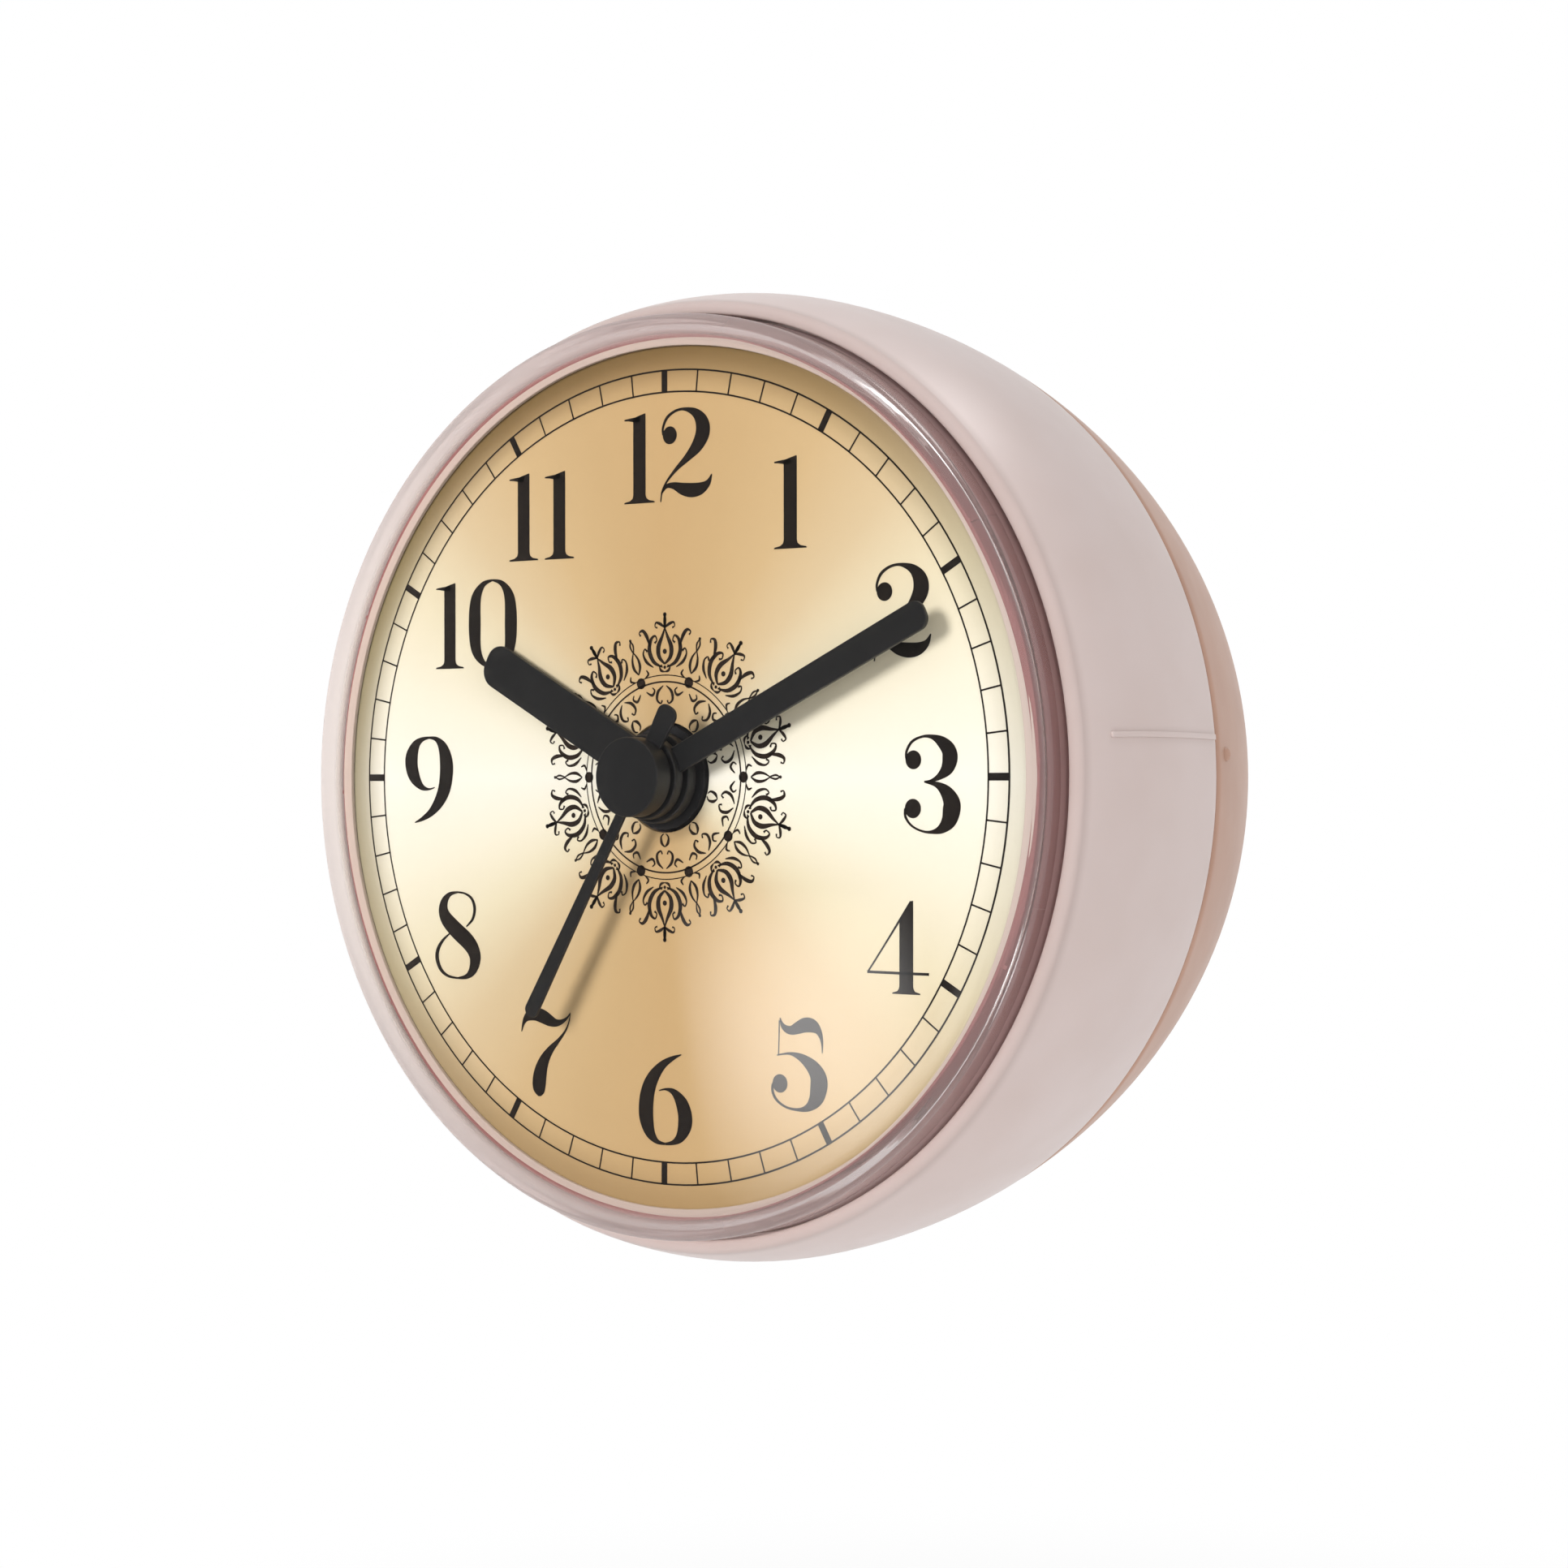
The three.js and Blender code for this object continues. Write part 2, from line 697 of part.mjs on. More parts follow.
// Suction cup: a mushroom head in the cover's socket, a stem and a shallow bell
function suctionCup() {
  const crown = dishFloor + cupCrown;
  const bell = (share) => crown + (wallDepth - cupEdge - crown) * share;
  return turned([
    [0, headFront],
    [headRadius - headRound, headFront],
    [headRadius, headFront + headRound],
    [headRadius, headFront + headThickness],
    [stemRadius, headFront + headThickness],
    [stemRadius, dishFloor + cupFlare],
    [cupRadius * 0.36, bell(0.08)],
    [cupRadius * 0.62, bell(0.36)],
    [cupRadius * 0.84, bell(0.7)],
    [cupRadius, bell(1)],
    [cupRadius, wallDepth],
    [cupRadius - cupLipWidth, wallDepth],
    [cupRadius * 0.74, wallDepth - cupHollow * 0.45],
    [cupRadius * 0.45, wallDepth - cupHollow * 0.85],
    [0, wallDepth - cupHollow],
  ], cupSides);
}

// One half of the movement case as an open tray of even wall
function tray(floorFront, floorRear, wallFront, wallRear) {
  const outside = roundedRectangle(-moveHalfWidth, moveHalfWidth, -moveBottom, moveTop, moveCorner);
  const inside = roundedRectangle(-moveHalfWidth + moveWall, moveHalfWidth - moveWall,
    -moveBottom + moveWall, moveTop - moveWall, innerCorner);
  const whole = plate(outside, Math.min(floorFront, wallFront), Math.max(floorRear, wallRear), 3);
  const hollow = floorFront < wallFront
    ? plate(inside, floorRear, wallRear + past, 3) : plate(inside, wallFront - past, floorFront, 3);
  return whole.subtract(hollow);
}

// Movement base: front half, hub, ears, pin of the motion wheel and board posts
function movementBase() {
  const ears = towers.map(({ x, z }) => {
    const out = Math.sign(x) * (Math.abs(x) + towerRadius);
    const inner = Math.sign(x) * (moveHalfWidth - moveWall / 2);
    return block([Math.min(out, inner), Math.max(out, inner)], [earFront, earRear],
      [z - earHalfHeight, z + earHalfHeight]);
  });
  const earHoles = towers.map((place) => bar(freeHole, earFront - past, earRear + past, place, pinSides));
  const columns = caseColumns.map((place) => bar(columnRadius, plateRear - sink, moveSplit, place, pinSides));
  const pilots = caseColumns.map((place) =>
    bar(screwRadius + seatGap, moveSplit - pilotDepth, moveSplit + past, place, pinSides));
  const bay = block([-moveHalfWidth + moveWall / 2, moveHalfWidth - moveWall / 2],
    [plateRear - sink, moveSplit], [bayTop, bayTop + bayWall]);
  const posts = boardPosts().map((place) =>
    bar(boardPostRadius, plateRear - sink, boardLevel - seatGap, place, pinSides));
  const body = union([
    tray(moveFront, plateRear, plateRear, moveSplit),
    bar(hubRadius, -hubFront, plateRear - sink),
    bar(pivotRadius, plateRear - sink, motionLevel + wheelThickness + axialGap, motionArbor, pinSides),
    ...middlePosts.map((place) =>
      bar(middlePostRadius, plateRear - sink, middlePlateLevel - seatGap, place, pinSides)),
    ...ears, ...columns, ...posts, bay,
  ]);
  const pit = bar(pivotRadius + runningGap, plateRear - pivotDepth, plateRear + past, thirdArbor, pinSides);
  const bore = bar(hubBore, -hubFront - past, plateRear + past);
  return body.subtract(union([bore, ...earHoles, ...pilots, pit]));
}

// Posts that carry the circuit board
function boardPosts() {
  return [
    { x: boardLeft + boardPostInset + boardPostShift, z: boardTop - boardPostInset },
    { x: boardLeft + boardWidth - boardPostInset, z: boardTop - boardHeight + boardPostInset },
  ];
}

// Movement cover: rear half with the open battery bay, pivot bosses and the knob's hole
function movementCover() {
  const columns = caseColumns.map((place) =>
    bar(columnRadius, moveSplit + axialGap, coverPlateFront + sink, place, pinSides));
  const pilots = caseColumns.map((place) => bar(freeHole, moveSplit, moveBack + past, place, pinSides));
  const pivots = [mainArbor, thirdArbor, fifthArbor, rotorArbor];
  const bosses = pivots.map((place) =>
    bar(bossRadius, bossLevel, coverPlateFront + sink, place, pinSides));
  const pits = pivots.map((place) =>
    bar(pivotBore(place), bossLevel - past, bossLevel + pivotDepth, place, pinSides));
  const bayInner = [-moveHalfWidth + moveWall, moveHalfWidth - moveWall];
  const bay = block([bayInner[0] - moveWall / 2, bayInner[1] + moveWall / 2],
    [moveSplit + axialGap, coverPlateFront + sink], [bayTop, bayTop + bayWall]);
  const mouth = block(bayInner, [coverPlateFront - past, moveBack + past],
    [-moveBottom + moveWall + rootSink, bayTop]);
  const knobHole = bar(knobShaftRadius + runningGap, coverPlateFront - past, moveBack + past, knobArbor);
  const half = tray(coverPlateFront, moveBack, moveSplit + axialGap / 3, coverPlateFront);
  return union([half, ...columns, ...bosses, bay])
    .subtract(union([...pilots, ...pits, mouth, knobHole]));
}

function pivotBore(place) {
  return (place === mainArbor ? secondArborRadius : pivotRadius) + runningGap;
}

// Middle plate between the motion work and the going train
function middlePlate() {
  const rear = middlePlateLevel + middlePlateThickness;
  const bottom = bayTop + bayWall + axialGap;
  const sheet = plate(roundedRectangle(middleLeft, middleRight, bottom, middleTop, middleCorner),
    middlePlateLevel, rear, 3);
  const cut = (radius, place) => bar(radius, middlePlateLevel - past, rear + past, place, pinSides);
  const holes = [
    bar(minutePipeRadius + axialGap, middlePlateLevel - past, rear + past),
    cut(pivotRadius + axialGap, thirdArbor),
    cut(pivotRadius + runningGap, fifthArbor),
    cut(pivotRadius + runningGap, rotorArbor),
  ];
  return sheet.subtract(union(holes));
}

// Hour wheel on its pipe, which runs in the hub and carries the hour hand
function hourWheel() {
  const rear = hourLevel + wheelThickness + pinionExtra;
  return toothed(hourTeeth, hourModule, hourLevel, rear, minutePipeBore + hourPipeWall / 2)
    .add(tube(minutePipeBore, hourPipeRadius, hourHand.front + handSeat, rear));
}

// Minute arbor: cannon pinion and the pipe that carries the minute hand
function minuteArbor() {
  const front = motionLevel - pinionReach;
  const rear = motionLevel + wheelThickness + pinionReach;
  const pipeRear = centreLevel + wheelThickness + pinionExtra;
  return toothed(cannonTeeth, motionModule, front, rear, secondPipeBore + minutePipeWall / 2)
    .add(tube(secondPipeBore, minutePipeRadius, minuteHand.front + handSeat, pipeRear));
}

// Centre wheel, a friction fit on the minute arbor
function centreWheel() {
  return toothed(centreTeeth, trainModule, centreLevel, centreLevel + wheelThickness, minutePipeRadius + seatGap);
}

// Seconds wheel, its pinion and the long arbor that carries the second hand
function secondWheel() {
  return union([
    toothed(secondTeeth, trainModule, secondLevel, secondLevel + wheelThickness),
    toothed(secondPinionTeeth, thirdModule, thirdLevel - pinionReach, secondLevel + sink),
    bar(secondArborRadius, secondHand.front + secondCap + seatGap, bossLevel + pivotDepth - pivotPlay),
    bar(2 * secondArborRadius, secondLevel + wheelThickness - sink, bossLevel - pivotPlay),
  ]);
}

function thirdWheel() {
  return union([
    toothed(thirdTeeth, thirdModule, thirdLevel, thirdLevel + wheelThickness),
    toothed(thirdPinionTeeth, trainModule, centreLevel - pinionReach, centreLevel + wheelThickness + pinionReach),
    bar(pivotRadius, plateRear - pivotDepth + pivotPlay, bossLevel + pivotDepth - pivotPlay, mainArbor, pinSides),
  ]);
}

function fifthWheel() {
  return union([
    toothed(fifthTeeth, trainModule, fifthLevel, fifthLevel + wheelThickness),
    toothed(fifthPinionTeeth, trainModule, secondLevel - pinionReach, fifthLevel + sink),
    bar(pivotRadius, middlePlateLevel + sink, bossLevel + pivotDepth - pivotPlay, mainArbor, pinSides),
  ]);
}

// Motion wheel with its pinion, turning on the base's pin
function motionWheel() {
  const bore = pivotRadius + runningGap;
  return toothed(motionTeeth, motionModule, motionLevel, motionLevel + wheelThickness, bore)
    .add(toothed(motionPinionTeeth, hourModule, hourLevel - sink, motionLevel + sink, bore));
}

// Rotor: a magnet, its pinion and its pivots
function rotor() {
  const middle = statorLevel + statorThickness / 2;
  return union([
    bar(magnetRadius, middle - magnetLength / 2, middle + magnetLength / 2),
    toothed(rotorTeeth, trainModule, fifthLevel - pinionReach, fifthLevel + wheelThickness + pinionReach),
    bar(pivotRadius, middlePlateLevel + sink, bossLevel + pivotDepth - pivotPlay, mainArbor, pinSides),
  ]);
}

// Stator plate: a frame with the rotor's hole, whose upper bar is the core of the coil
function stator() {
  const rear = statorLevel + statorThickness;
  const { left, right } = statorEdges();
  const low = rotorArbor.z - statorFoot;
  const sheet = plate(roundedRectangle(left, right, low, coilZ + coreWidth / 2, statorCorner),
    statorLevel, rear, 2);
  const window = block([left + sideBar, right - rotorBar], [statorLevel - past, rear + past],
    [coilZ - coilRadius - windowGap, coilZ - coreWidth / 2]);
  const hole = bar(magnetRadius + rotorGap, statorLevel - past, rear + past, rotorArbor);
  return sheet.subtract(window).subtract(hole);
}

function statorEdges() {
  return { left: rotorArbor.x - statorLeft, right: rotorArbor.x + magnetRadius + rotorGap + statorRight };
}

// Ends of the coil along X, centred in the stator's window
function coilEnds() {
  const { left, right } = statorEdges();
  const middle = (left + sideBar + right - rotorBar) / 2;
  return [middle - coilLength / 2, middle + coilLength / 2];
}

// A round bar along X at the coil's place
function coilBar(radius, from, to, sides = smallSides) {
  const geometry = new THREE.CylinderGeometry(radius, radius, to - from, sides).rotateZ(Math.PI / 2);
  const middle = statorLevel + statorThickness / 2;
  return solidFrom(geometry.translate((from + to) / 2, middle, coilZ));
}

// Bobbin: a sleeve round the core with a flange at each end
function coilBobbin() {
  const [from, to] = coilEnds();
  const sleeve = coilBar(coilCoreRadius() + bobbinWall, from, to);
  const flanges = [
    coilBar(coilRadius, from, from + bobbinFlange),
    coilBar(coilRadius, to - bobbinFlange, to),
  ];
  const middle = statorLevel + statorThickness / 2;
  const slot = block([from - past, to + past],
    [middle - statorThickness / 2 - seatGap, middle + statorThickness / 2 + seatGap],
    [coilZ - coreWidth / 2 - seatGap, coilZ + coreWidth / 2 + seatGap]);
  return union([sleeve, ...flanges]).subtract(slot);
}

function coilCoreRadius() {
  return Math.hypot(coreWidth / 2 + seatGap, statorThickness / 2 + seatGap);
}

function coilWinding() {
  const [from, to] = coilEnds();
  const end = bobbinFlange + seatGap;
  return coilBar(coilRadius - windingInset, from + end, to - end)
    .subtract(coilBar(coilCoreRadius() + bobbinWall + seatGap, from, to));
}

// Circuit board with its crystal and chip
function circuitBoard() {
  const right = boardLeft + boardWidth;
  const shape = roundedRectangle(boardLeft, right, boardTop - boardHeight, boardTop, boardCorner);
  return plate(shape, boardLevel, boardLevel + boardThickness, 2);
}

function quartzCrystal() {
  const geometry = new THREE.CylinderGeometry(crystalRadius, crystalRadius, crystalLength, pinSides);
  const depth = boardLevel + boardThickness + seatGap + crystalRadius;
  geometry.rotateZ(Math.PI / 2).translate(boardLeft + boardWidth / 2, depth, boardTop - crystalInset);
  return solidFrom(geometry);
}

function chipBlob() {
  const foot = boardLevel + boardThickness + seatGap;
  const dome = turned([
    [0, foot],
    [blobRadius, foot],
    [blobRadius * 0.85, foot + blobHeight * 0.55],
    [blobRadius * 0.5, foot + blobHeight * 0.9],
    [0, foot + blobHeight],
  ], pinSides);
  return dome.translate([boardLeft + boardWidth / 2, 0, boardTop - boardHeight / 2 - blobHeight]);
}

// Battery cell, lying along X with its nub to the left
function batteryCell() {
  const right = cellLength / 2;
  const bodyLength = cellLength - nubLength;
  const nubWhole = nubLength + rootSink;
  const body = new THREE.CylinderGeometry(cellRadius, cellRadius, bodyLength, cellSides).rotateZ(Math.PI / 2);
  const nub = new THREE.CylinderGeometry(cellNub, cellNub, nubWhole, smallSides).rotateZ(Math.PI / 2);
  body.translate(right - bodyLength / 2, cellDepth, cellZ);
  nub.translate(nubWhole / 2 - right, cellDepth, cellZ);
  return solidFrom(body).add(solidFrom(nub));
}

// Contact plate at one end of the bay, with a cone pressed out towards the cell
function contact(side) {
  const outer = moveHalfWidth - moveWall - seatGap;
  const [x0, x1] = side < 0 ? [-outer, -outer + contactThickness] : [outer - contactThickness, outer];
  const sheet = block([x0, x1], [moveSplit - contactHalfDepth, moveSplit + contactHalfDepth],
    [cellZ - contactHalfHeight, cellZ + contactHalfHeight]);
  const reach = outer - contactThickness - cellLength / 2 - seatGap + 2 * sink;
  const tip = new THREE.CylinderGeometry(dimpleTop, dimpleFoot, reach, pinSides).rotateZ(side * Math.PI / 2);
  tip.translate(side * (outer - contactThickness - reach / 2 + 2 * sink), cellDepth, cellZ);
  return sheet.add(solidFrom(tip));
}

// Setting knob: a notched button behind the movement, its shaft and its pinion
function settingKnob() {
  const front = moveBack + axialGap;
  const notches = [];
  for (let i = 0; i < knobNotches; i += 1) {
    const place = stepFrom(mainArbor, 360 * i / knobNotches, knobRadius);
    notches.push(bar(notchRadius, front - past, front + knobThickness + past, place, notchSides));
  }
  return union([
    bar(knobRadius, front, front + knobThickness, mainArbor, knobSides).subtract(union(notches)),
    bar(knobShaftRadius, motionLevel + wheelThickness, front + sink),
    toothed(knobTeeth, motionModule, motionLevel - pinionReach, motionLevel + wheelThickness + pinionReach),
    bar(pivotRadius, plateRear + seatGap, motionLevel, mainArbor, pinSides),
  ]);
}

// A pan-head screw with a plain shank
function screw(place, seat, length) {
  const head = bar(screwHeadRadius, seat, seat + screwHeadThickness, place, pinSides);
  const top = seat + screwHeadThickness;
  const slot = block([place.x - screwHeadRadius - past, place.x + screwHeadRadius + past],
    [top - slotDepth, top + past], [place.z - slotWidth / 2, place.z + slotWidth / 2]);
  return head.subtract(slot).add(bar(screwRadius - seatGap, seat - length, seat + sink, place, pinSides));
}

function movementScrews() {
  return towers.map((place, i) => meshFrom(`movement_screw_${i + 1}`,
    screw(place, earRear + seatGap, towerScrewLength), steel));
}

function caseScrews() {
  return caseColumns.map((place, i) => meshFrom(`case_screw_${i + 1}`,
    screw(place, moveBack + seatGap, moveBack - moveSplit + pilotDepth - axialGap), steel));
}

// A hand: a round boss with a stepped bore and a flat baton that points to twelve
function hand(size, bore, tip, closed) {
  const half = size.width / 2;
  const baton = new THREE.Shape([
    new THREE.Vector2(-half, 0), new THREE.Vector2(half, 0),
    new THREE.Vector2(half, size.length - tip), new THREE.Vector2(half * tipShare, size.length),
    new THREE.Vector2(-half * tipShare, size.length), new THREE.Vector2(-half, size.length - tip),
  ]);
  const rear = size.level + sink;
  const blade = plate(baton, size.level - size.thickness, size.level);
  const boss = bar(size.boss, size.front, rear, mainArbor, bossSides);
  const hole = bar(bore + seatGap, closed ? size.front + secondCap : size.front - past, rear + past);
  return blade.add(boss).subtract(hole);
}

function secondHandSolid() {
  const half = tailWidth / 2;
  const tail = new THREE.Shape([
    new THREE.Vector2(-half, 0), new THREE.Vector2(-half * 0.5, -secondTail),
    new THREE.Vector2(half * 0.5, -secondTail), new THREE.Vector2(half, 0),
  ]);
  const blade = plate(tail, secondHand.level - secondHand.thickness, secondHand.level);
  const body = hand(secondHand, secondArborRadius, secondTip, true);
  const hole = bar(secondArborRadius + seatGap, secondHand.front + secondCap, secondHand.level + past);
  return body.add(blade).subtract(hole);
}

const pieces = [
  meshFrom('front_lens', frontLens(), clearPlastic),
  meshFrom('lens_gasket', lensGasket(), siliconeWhite),
  meshFrom('dial_ring', dialRing(), ringPlum),
  meshFrom('dial_plate', dialPlate(), dialGold),
  meshFrom('body_shell', bodyShell(), shellPink),
  meshFrom('rear_gasket', rearGasket(), siliconeWhite),
  meshFrom('rear_cover', rearCover(), coverTan),
  meshFrom('suction_cup', suctionCup(), softClear),
  meshFrom('hour_hand', hand(hourHand, hourPipeRadius, hourTip, false), handBlack,
    mainArbor, hourHandAngle),
  meshFrom('minute_hand', hand(minuteHand, minutePipeRadius, minuteTip, false), handBlack,
    mainArbor, minuteHandAngle),
  meshFrom('second_hand', secondHandSolid(), handBlack, mainArbor, secondHandAngle),
  meshFrom('movement_base', movementBase(), movementBlack),
  meshFrom('movement_cover', movementCover(), movementBlack),
  meshFrom('middle_plate', middlePlate(), wheelWhite),
  meshFrom('hour_wheel', hourWheel(), wheelWhite, mainArbor, hourTurn),
  meshFrom('minute_arbor', minuteArbor(), wheelWhite, mainArbor, cannonTurn),
  meshFrom('centre_wheel', centreWheel(), wheelWhite, mainArbor, centreTurn),
  meshFrom('second_wheel', secondWheel(), wheelWhite, mainArbor, secondTurn),
  meshFrom('third_wheel', thirdWheel(), wheelWhite, thirdArbor, thirdTurn),
  meshFrom('fifth_wheel', fifthWheel(), wheelWhite, fifthArbor, fifthTurn),
  meshFrom('motion_wheel', motionWheel(), wheelWhite, motionArbor, motionTurn),
  meshFrom('rotor', rotor(), steel, rotorArbor, rotorTurn),
  meshFrom('stator', stator(), steel),
  meshFrom('coil_bobbin', coilBobbin(), wheelWhite),
  meshFrom('coil_winding', coilWinding(), copper),
  meshFrom('circuit_board', circuitBoard(), boardGreen),
  meshFrom('quartz_crystal', quartzCrystal(), steel),
  meshFrom('chip_blob', chipBlob(), movementBlack),
  meshFrom('battery_cell', batteryCell(), cellBlue),
  meshFrom('contact_positive', contact(-1), steel),
  meshFrom('contact_negative', contact(1), steel),
  meshFrom('setting_knob', settingKnob(), wheelWhite, knobArbor, knobTurn),
  ...movementScrews(),
  ...caseScrews(),
];

const clock = new THREE.Group();
clock.name = 'shower_clock';
const body = new THREE.Group();
body.position.y = -wallDepth;
pieces.forEach((piece) => body.add(piece));
clock.add(body);
clock.updateMatrixWorld(true);

export default clock;
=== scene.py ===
"""A small round shower clock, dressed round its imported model.

A clear domed cap stands over a gold dial with black numerals. The cap sits in a pale pink barrel, a tan
domed cover closes the barrel behind, and a suction cup on the cover holds the clock to a wall.
Sizes are in millimetres and become metres where a mesh is finished. Depth counts from the face of the
dial towards the wall, so depth 0 is the dial and negative depths are in front of it.
"""

import logging
import math
from dataclasses import dataclass, field
from enum import Enum
from typing import Any, Iterable, Sequence

import bmesh
import bpy
from mathutils import Matrix, Vector


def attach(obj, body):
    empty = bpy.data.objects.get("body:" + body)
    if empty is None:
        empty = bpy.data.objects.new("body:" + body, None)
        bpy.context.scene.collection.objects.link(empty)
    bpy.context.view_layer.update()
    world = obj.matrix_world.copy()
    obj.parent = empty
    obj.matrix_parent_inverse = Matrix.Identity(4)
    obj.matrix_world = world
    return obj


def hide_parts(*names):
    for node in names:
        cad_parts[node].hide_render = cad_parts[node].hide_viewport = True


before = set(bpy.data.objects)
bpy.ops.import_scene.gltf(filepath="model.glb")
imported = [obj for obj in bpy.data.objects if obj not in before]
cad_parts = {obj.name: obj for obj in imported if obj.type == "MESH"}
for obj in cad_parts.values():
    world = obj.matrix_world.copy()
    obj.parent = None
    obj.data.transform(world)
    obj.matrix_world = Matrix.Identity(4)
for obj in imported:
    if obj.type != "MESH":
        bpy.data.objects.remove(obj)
log = logging.getLogger("shower_clock")

MM = 0.001
WALL_DEPTH = 46.0
AXIS = Vector((0.0, 1.0, 0.0))
FULL_TURN = 360.0
ROUND_STEPS = 192
MERGE_MM = 1e-4
HOURS = 12
MINUTES = 60

MATH = "ShaderNodeMath"
MAP_RANGE = "ShaderNodeMapRange"
MIX_SHADER = "ShaderNodeMixShader"
# How many waves a wave texture of scale 1 has in a length of tau
WAVES = 20
WHITE = "FFFFFF"
BYTE = 255

# The sRGB curve: a straight foot below the knee, and a power above it
SRGB_KNEE = 0.04045
SRGB_SLOPE = 12.92
SRGB_LIFT = 0.055
SRGB_POWER = 2.4

Profile = Sequence[Sequence[float]]
Point = tuple[float, float, float]
Inputs = dict[Any, Any]


class Body(Enum):
    """The bodies of the model that pieces ride on."""

    CUP = "cup"
    COVER = "cover"
    CASE = "case"
    HOUR = "hour"
    MINUTE = "minute"
    SECOND = "second"


class Slot(Enum):
    """The model's material slots, one for each kind of visible surface."""

    SHELL = "shell_pink"
    COVER = "cover_tan"
    CAP = "clear_cap"
    SEAL = "silicone"
    RING = "ring_plum"
    DIAL = "dial_gold"
    HAND = "hand_black"
    CUP = "cup_clear"
    CELL = "cell_jacket"


def clock_turn(degrees: float) -> Matrix:
    """The turn about the hand axis that takes twelve o'clock to a clock direction."""
    return Matrix.Rotation(math.radians(degrees), 4, "Y")


# Nodes


def linear(code: str) -> tuple[float, float, float, float]:
    """Turns an sRGB hex colour into linear values.

    Args:
        code: Six hex digits.

    Returns:
        Linear red, green, blue and an alpha of 1.
    """
    parts = [int(code[i:i + 2], 16) / BYTE for i in (0, 2, 4)]
    red, green, blue = (
        c / SRGB_SLOPE if c <= SRGB_KNEE else ((c + SRGB_LIFT) / (1 + SRGB_LIFT)) ** SRGB_POWER
        for c in parts)
    return red, green, blue, 1.0


def add(tree: bpy.types.NodeTree, kind: str, inputs: Inputs | None = None,
        **settings: Any) -> bpy.types.Node:
    """Adds a node with its settings, and sets or links its inputs.

    Args:
        tree: The node tree that gets the node.
        kind: The node's type.
        inputs: Input names or numbers, each with a value, with the socket to link, or with a node whose
            first socket is linked.
        settings: Attributes of the node.

    Returns:
        The new node.
    """
    made = tree.nodes.new(kind)
    for name, value in settings.items():
        setattr(made, name, value)
    for name, value in (inputs or {}).items():
        source = value.outputs[0] if isinstance(value, bpy.types.Node) else value
        if isinstance(source, bpy.types.NodeSocket):
            tree.links.new(source, made.inputs[name])
        else:
            made.inputs[name].default_value = source
    return made


def emptied(owner: Any) -> bpy.types.NodeTree:
    """Gives a material, a world or a lamp an empty node tree.

    Args:
        owner: The material, world or lamp.

    Returns:
        Its node tree.
    """
    owner.use_nodes = True
    owner.node_tree.nodes.clear()
    return owner.node_tree


def set_stops(colors: bpy.types.ColorRamp, stops: Sequence[tuple[float, str]],
              interpolation: str = "LINEAR") -> None:
    """Gives a ramp of colours its stops.

    Args:
        colors: The ramp.
        stops: Positions from 0 to 1, each with an sRGB hex colour.
        interpolation: How colours run between the stops.
    """
    colors.interpolation = interpolation
    while len(colors.elements) < len(stops):
        colors.elements.new(0.5)
    for element, (position, code) in zip(colors.elements, stops):
        element.position = position
        element.color = linear(code)


def own_place(tree: bpy.types.NodeTree) -> bpy.types.NodeOutputs:
    """The point's own X, Y and Z in metres, as three sockets."""
    where = add(tree, "ShaderNodeTexCoord").outputs["Object"]
    return add(tree, "ShaderNodeSeparateXYZ", {"Vector": where}).outputs


def at_depth(depth: float) -> float:
    """The Y in metres of a depth in millimetres."""
    return (depth - WALL_DEPTH) * MM


def polar(tree: bpy.types.NodeTree) -> tuple[bpy.types.Node, bpy.types.Node]:
    """Finds where a point lies round the hand axis.

    Args:
        tree: The material's node tree.

    Returns:
        The clock direction in radians, and the distance from the hand axis in millimetres.
    """
    place = own_place(tree)
    across = add(tree, "ShaderNodeCombineXYZ", {"X": place["X"], "Y": place["Z"]})
    length = add(tree, "ShaderNodeVectorMath", {0: across}, operation="LENGTH").outputs["Value"]
    turn = add(tree, MATH, {0: place["X"], 1: place["Z"]}, operation="ARCTAN2")
    return turn, add(tree, MATH, {0: length, 1: 1 / MM}, operation="MULTIPLY")


def lit_through(tree: bpy.types.NodeTree, surface: bpy.types.NodeSocket,
                color: str) -> bpy.types.NodeSocket:
    """Lets the light of the lamps through a surface to what it covers.

    Args:
        tree: The material's node tree.
        surface: The surface as the eye sees it.
        color: The sRGB hex colour that tints the light.

    Returns:
        The surface with that light let through.
    """
    through = add(tree, "ShaderNodeBsdfTransparent", {"Color": linear(color)})
    shadow = add(tree, "ShaderNodeLightPath").outputs["Is Shadow Ray"]
    return add(tree, MIX_SHADER, {0: shadow, 1: surface, 2: through}).outputs["Shader"]


# Finishes


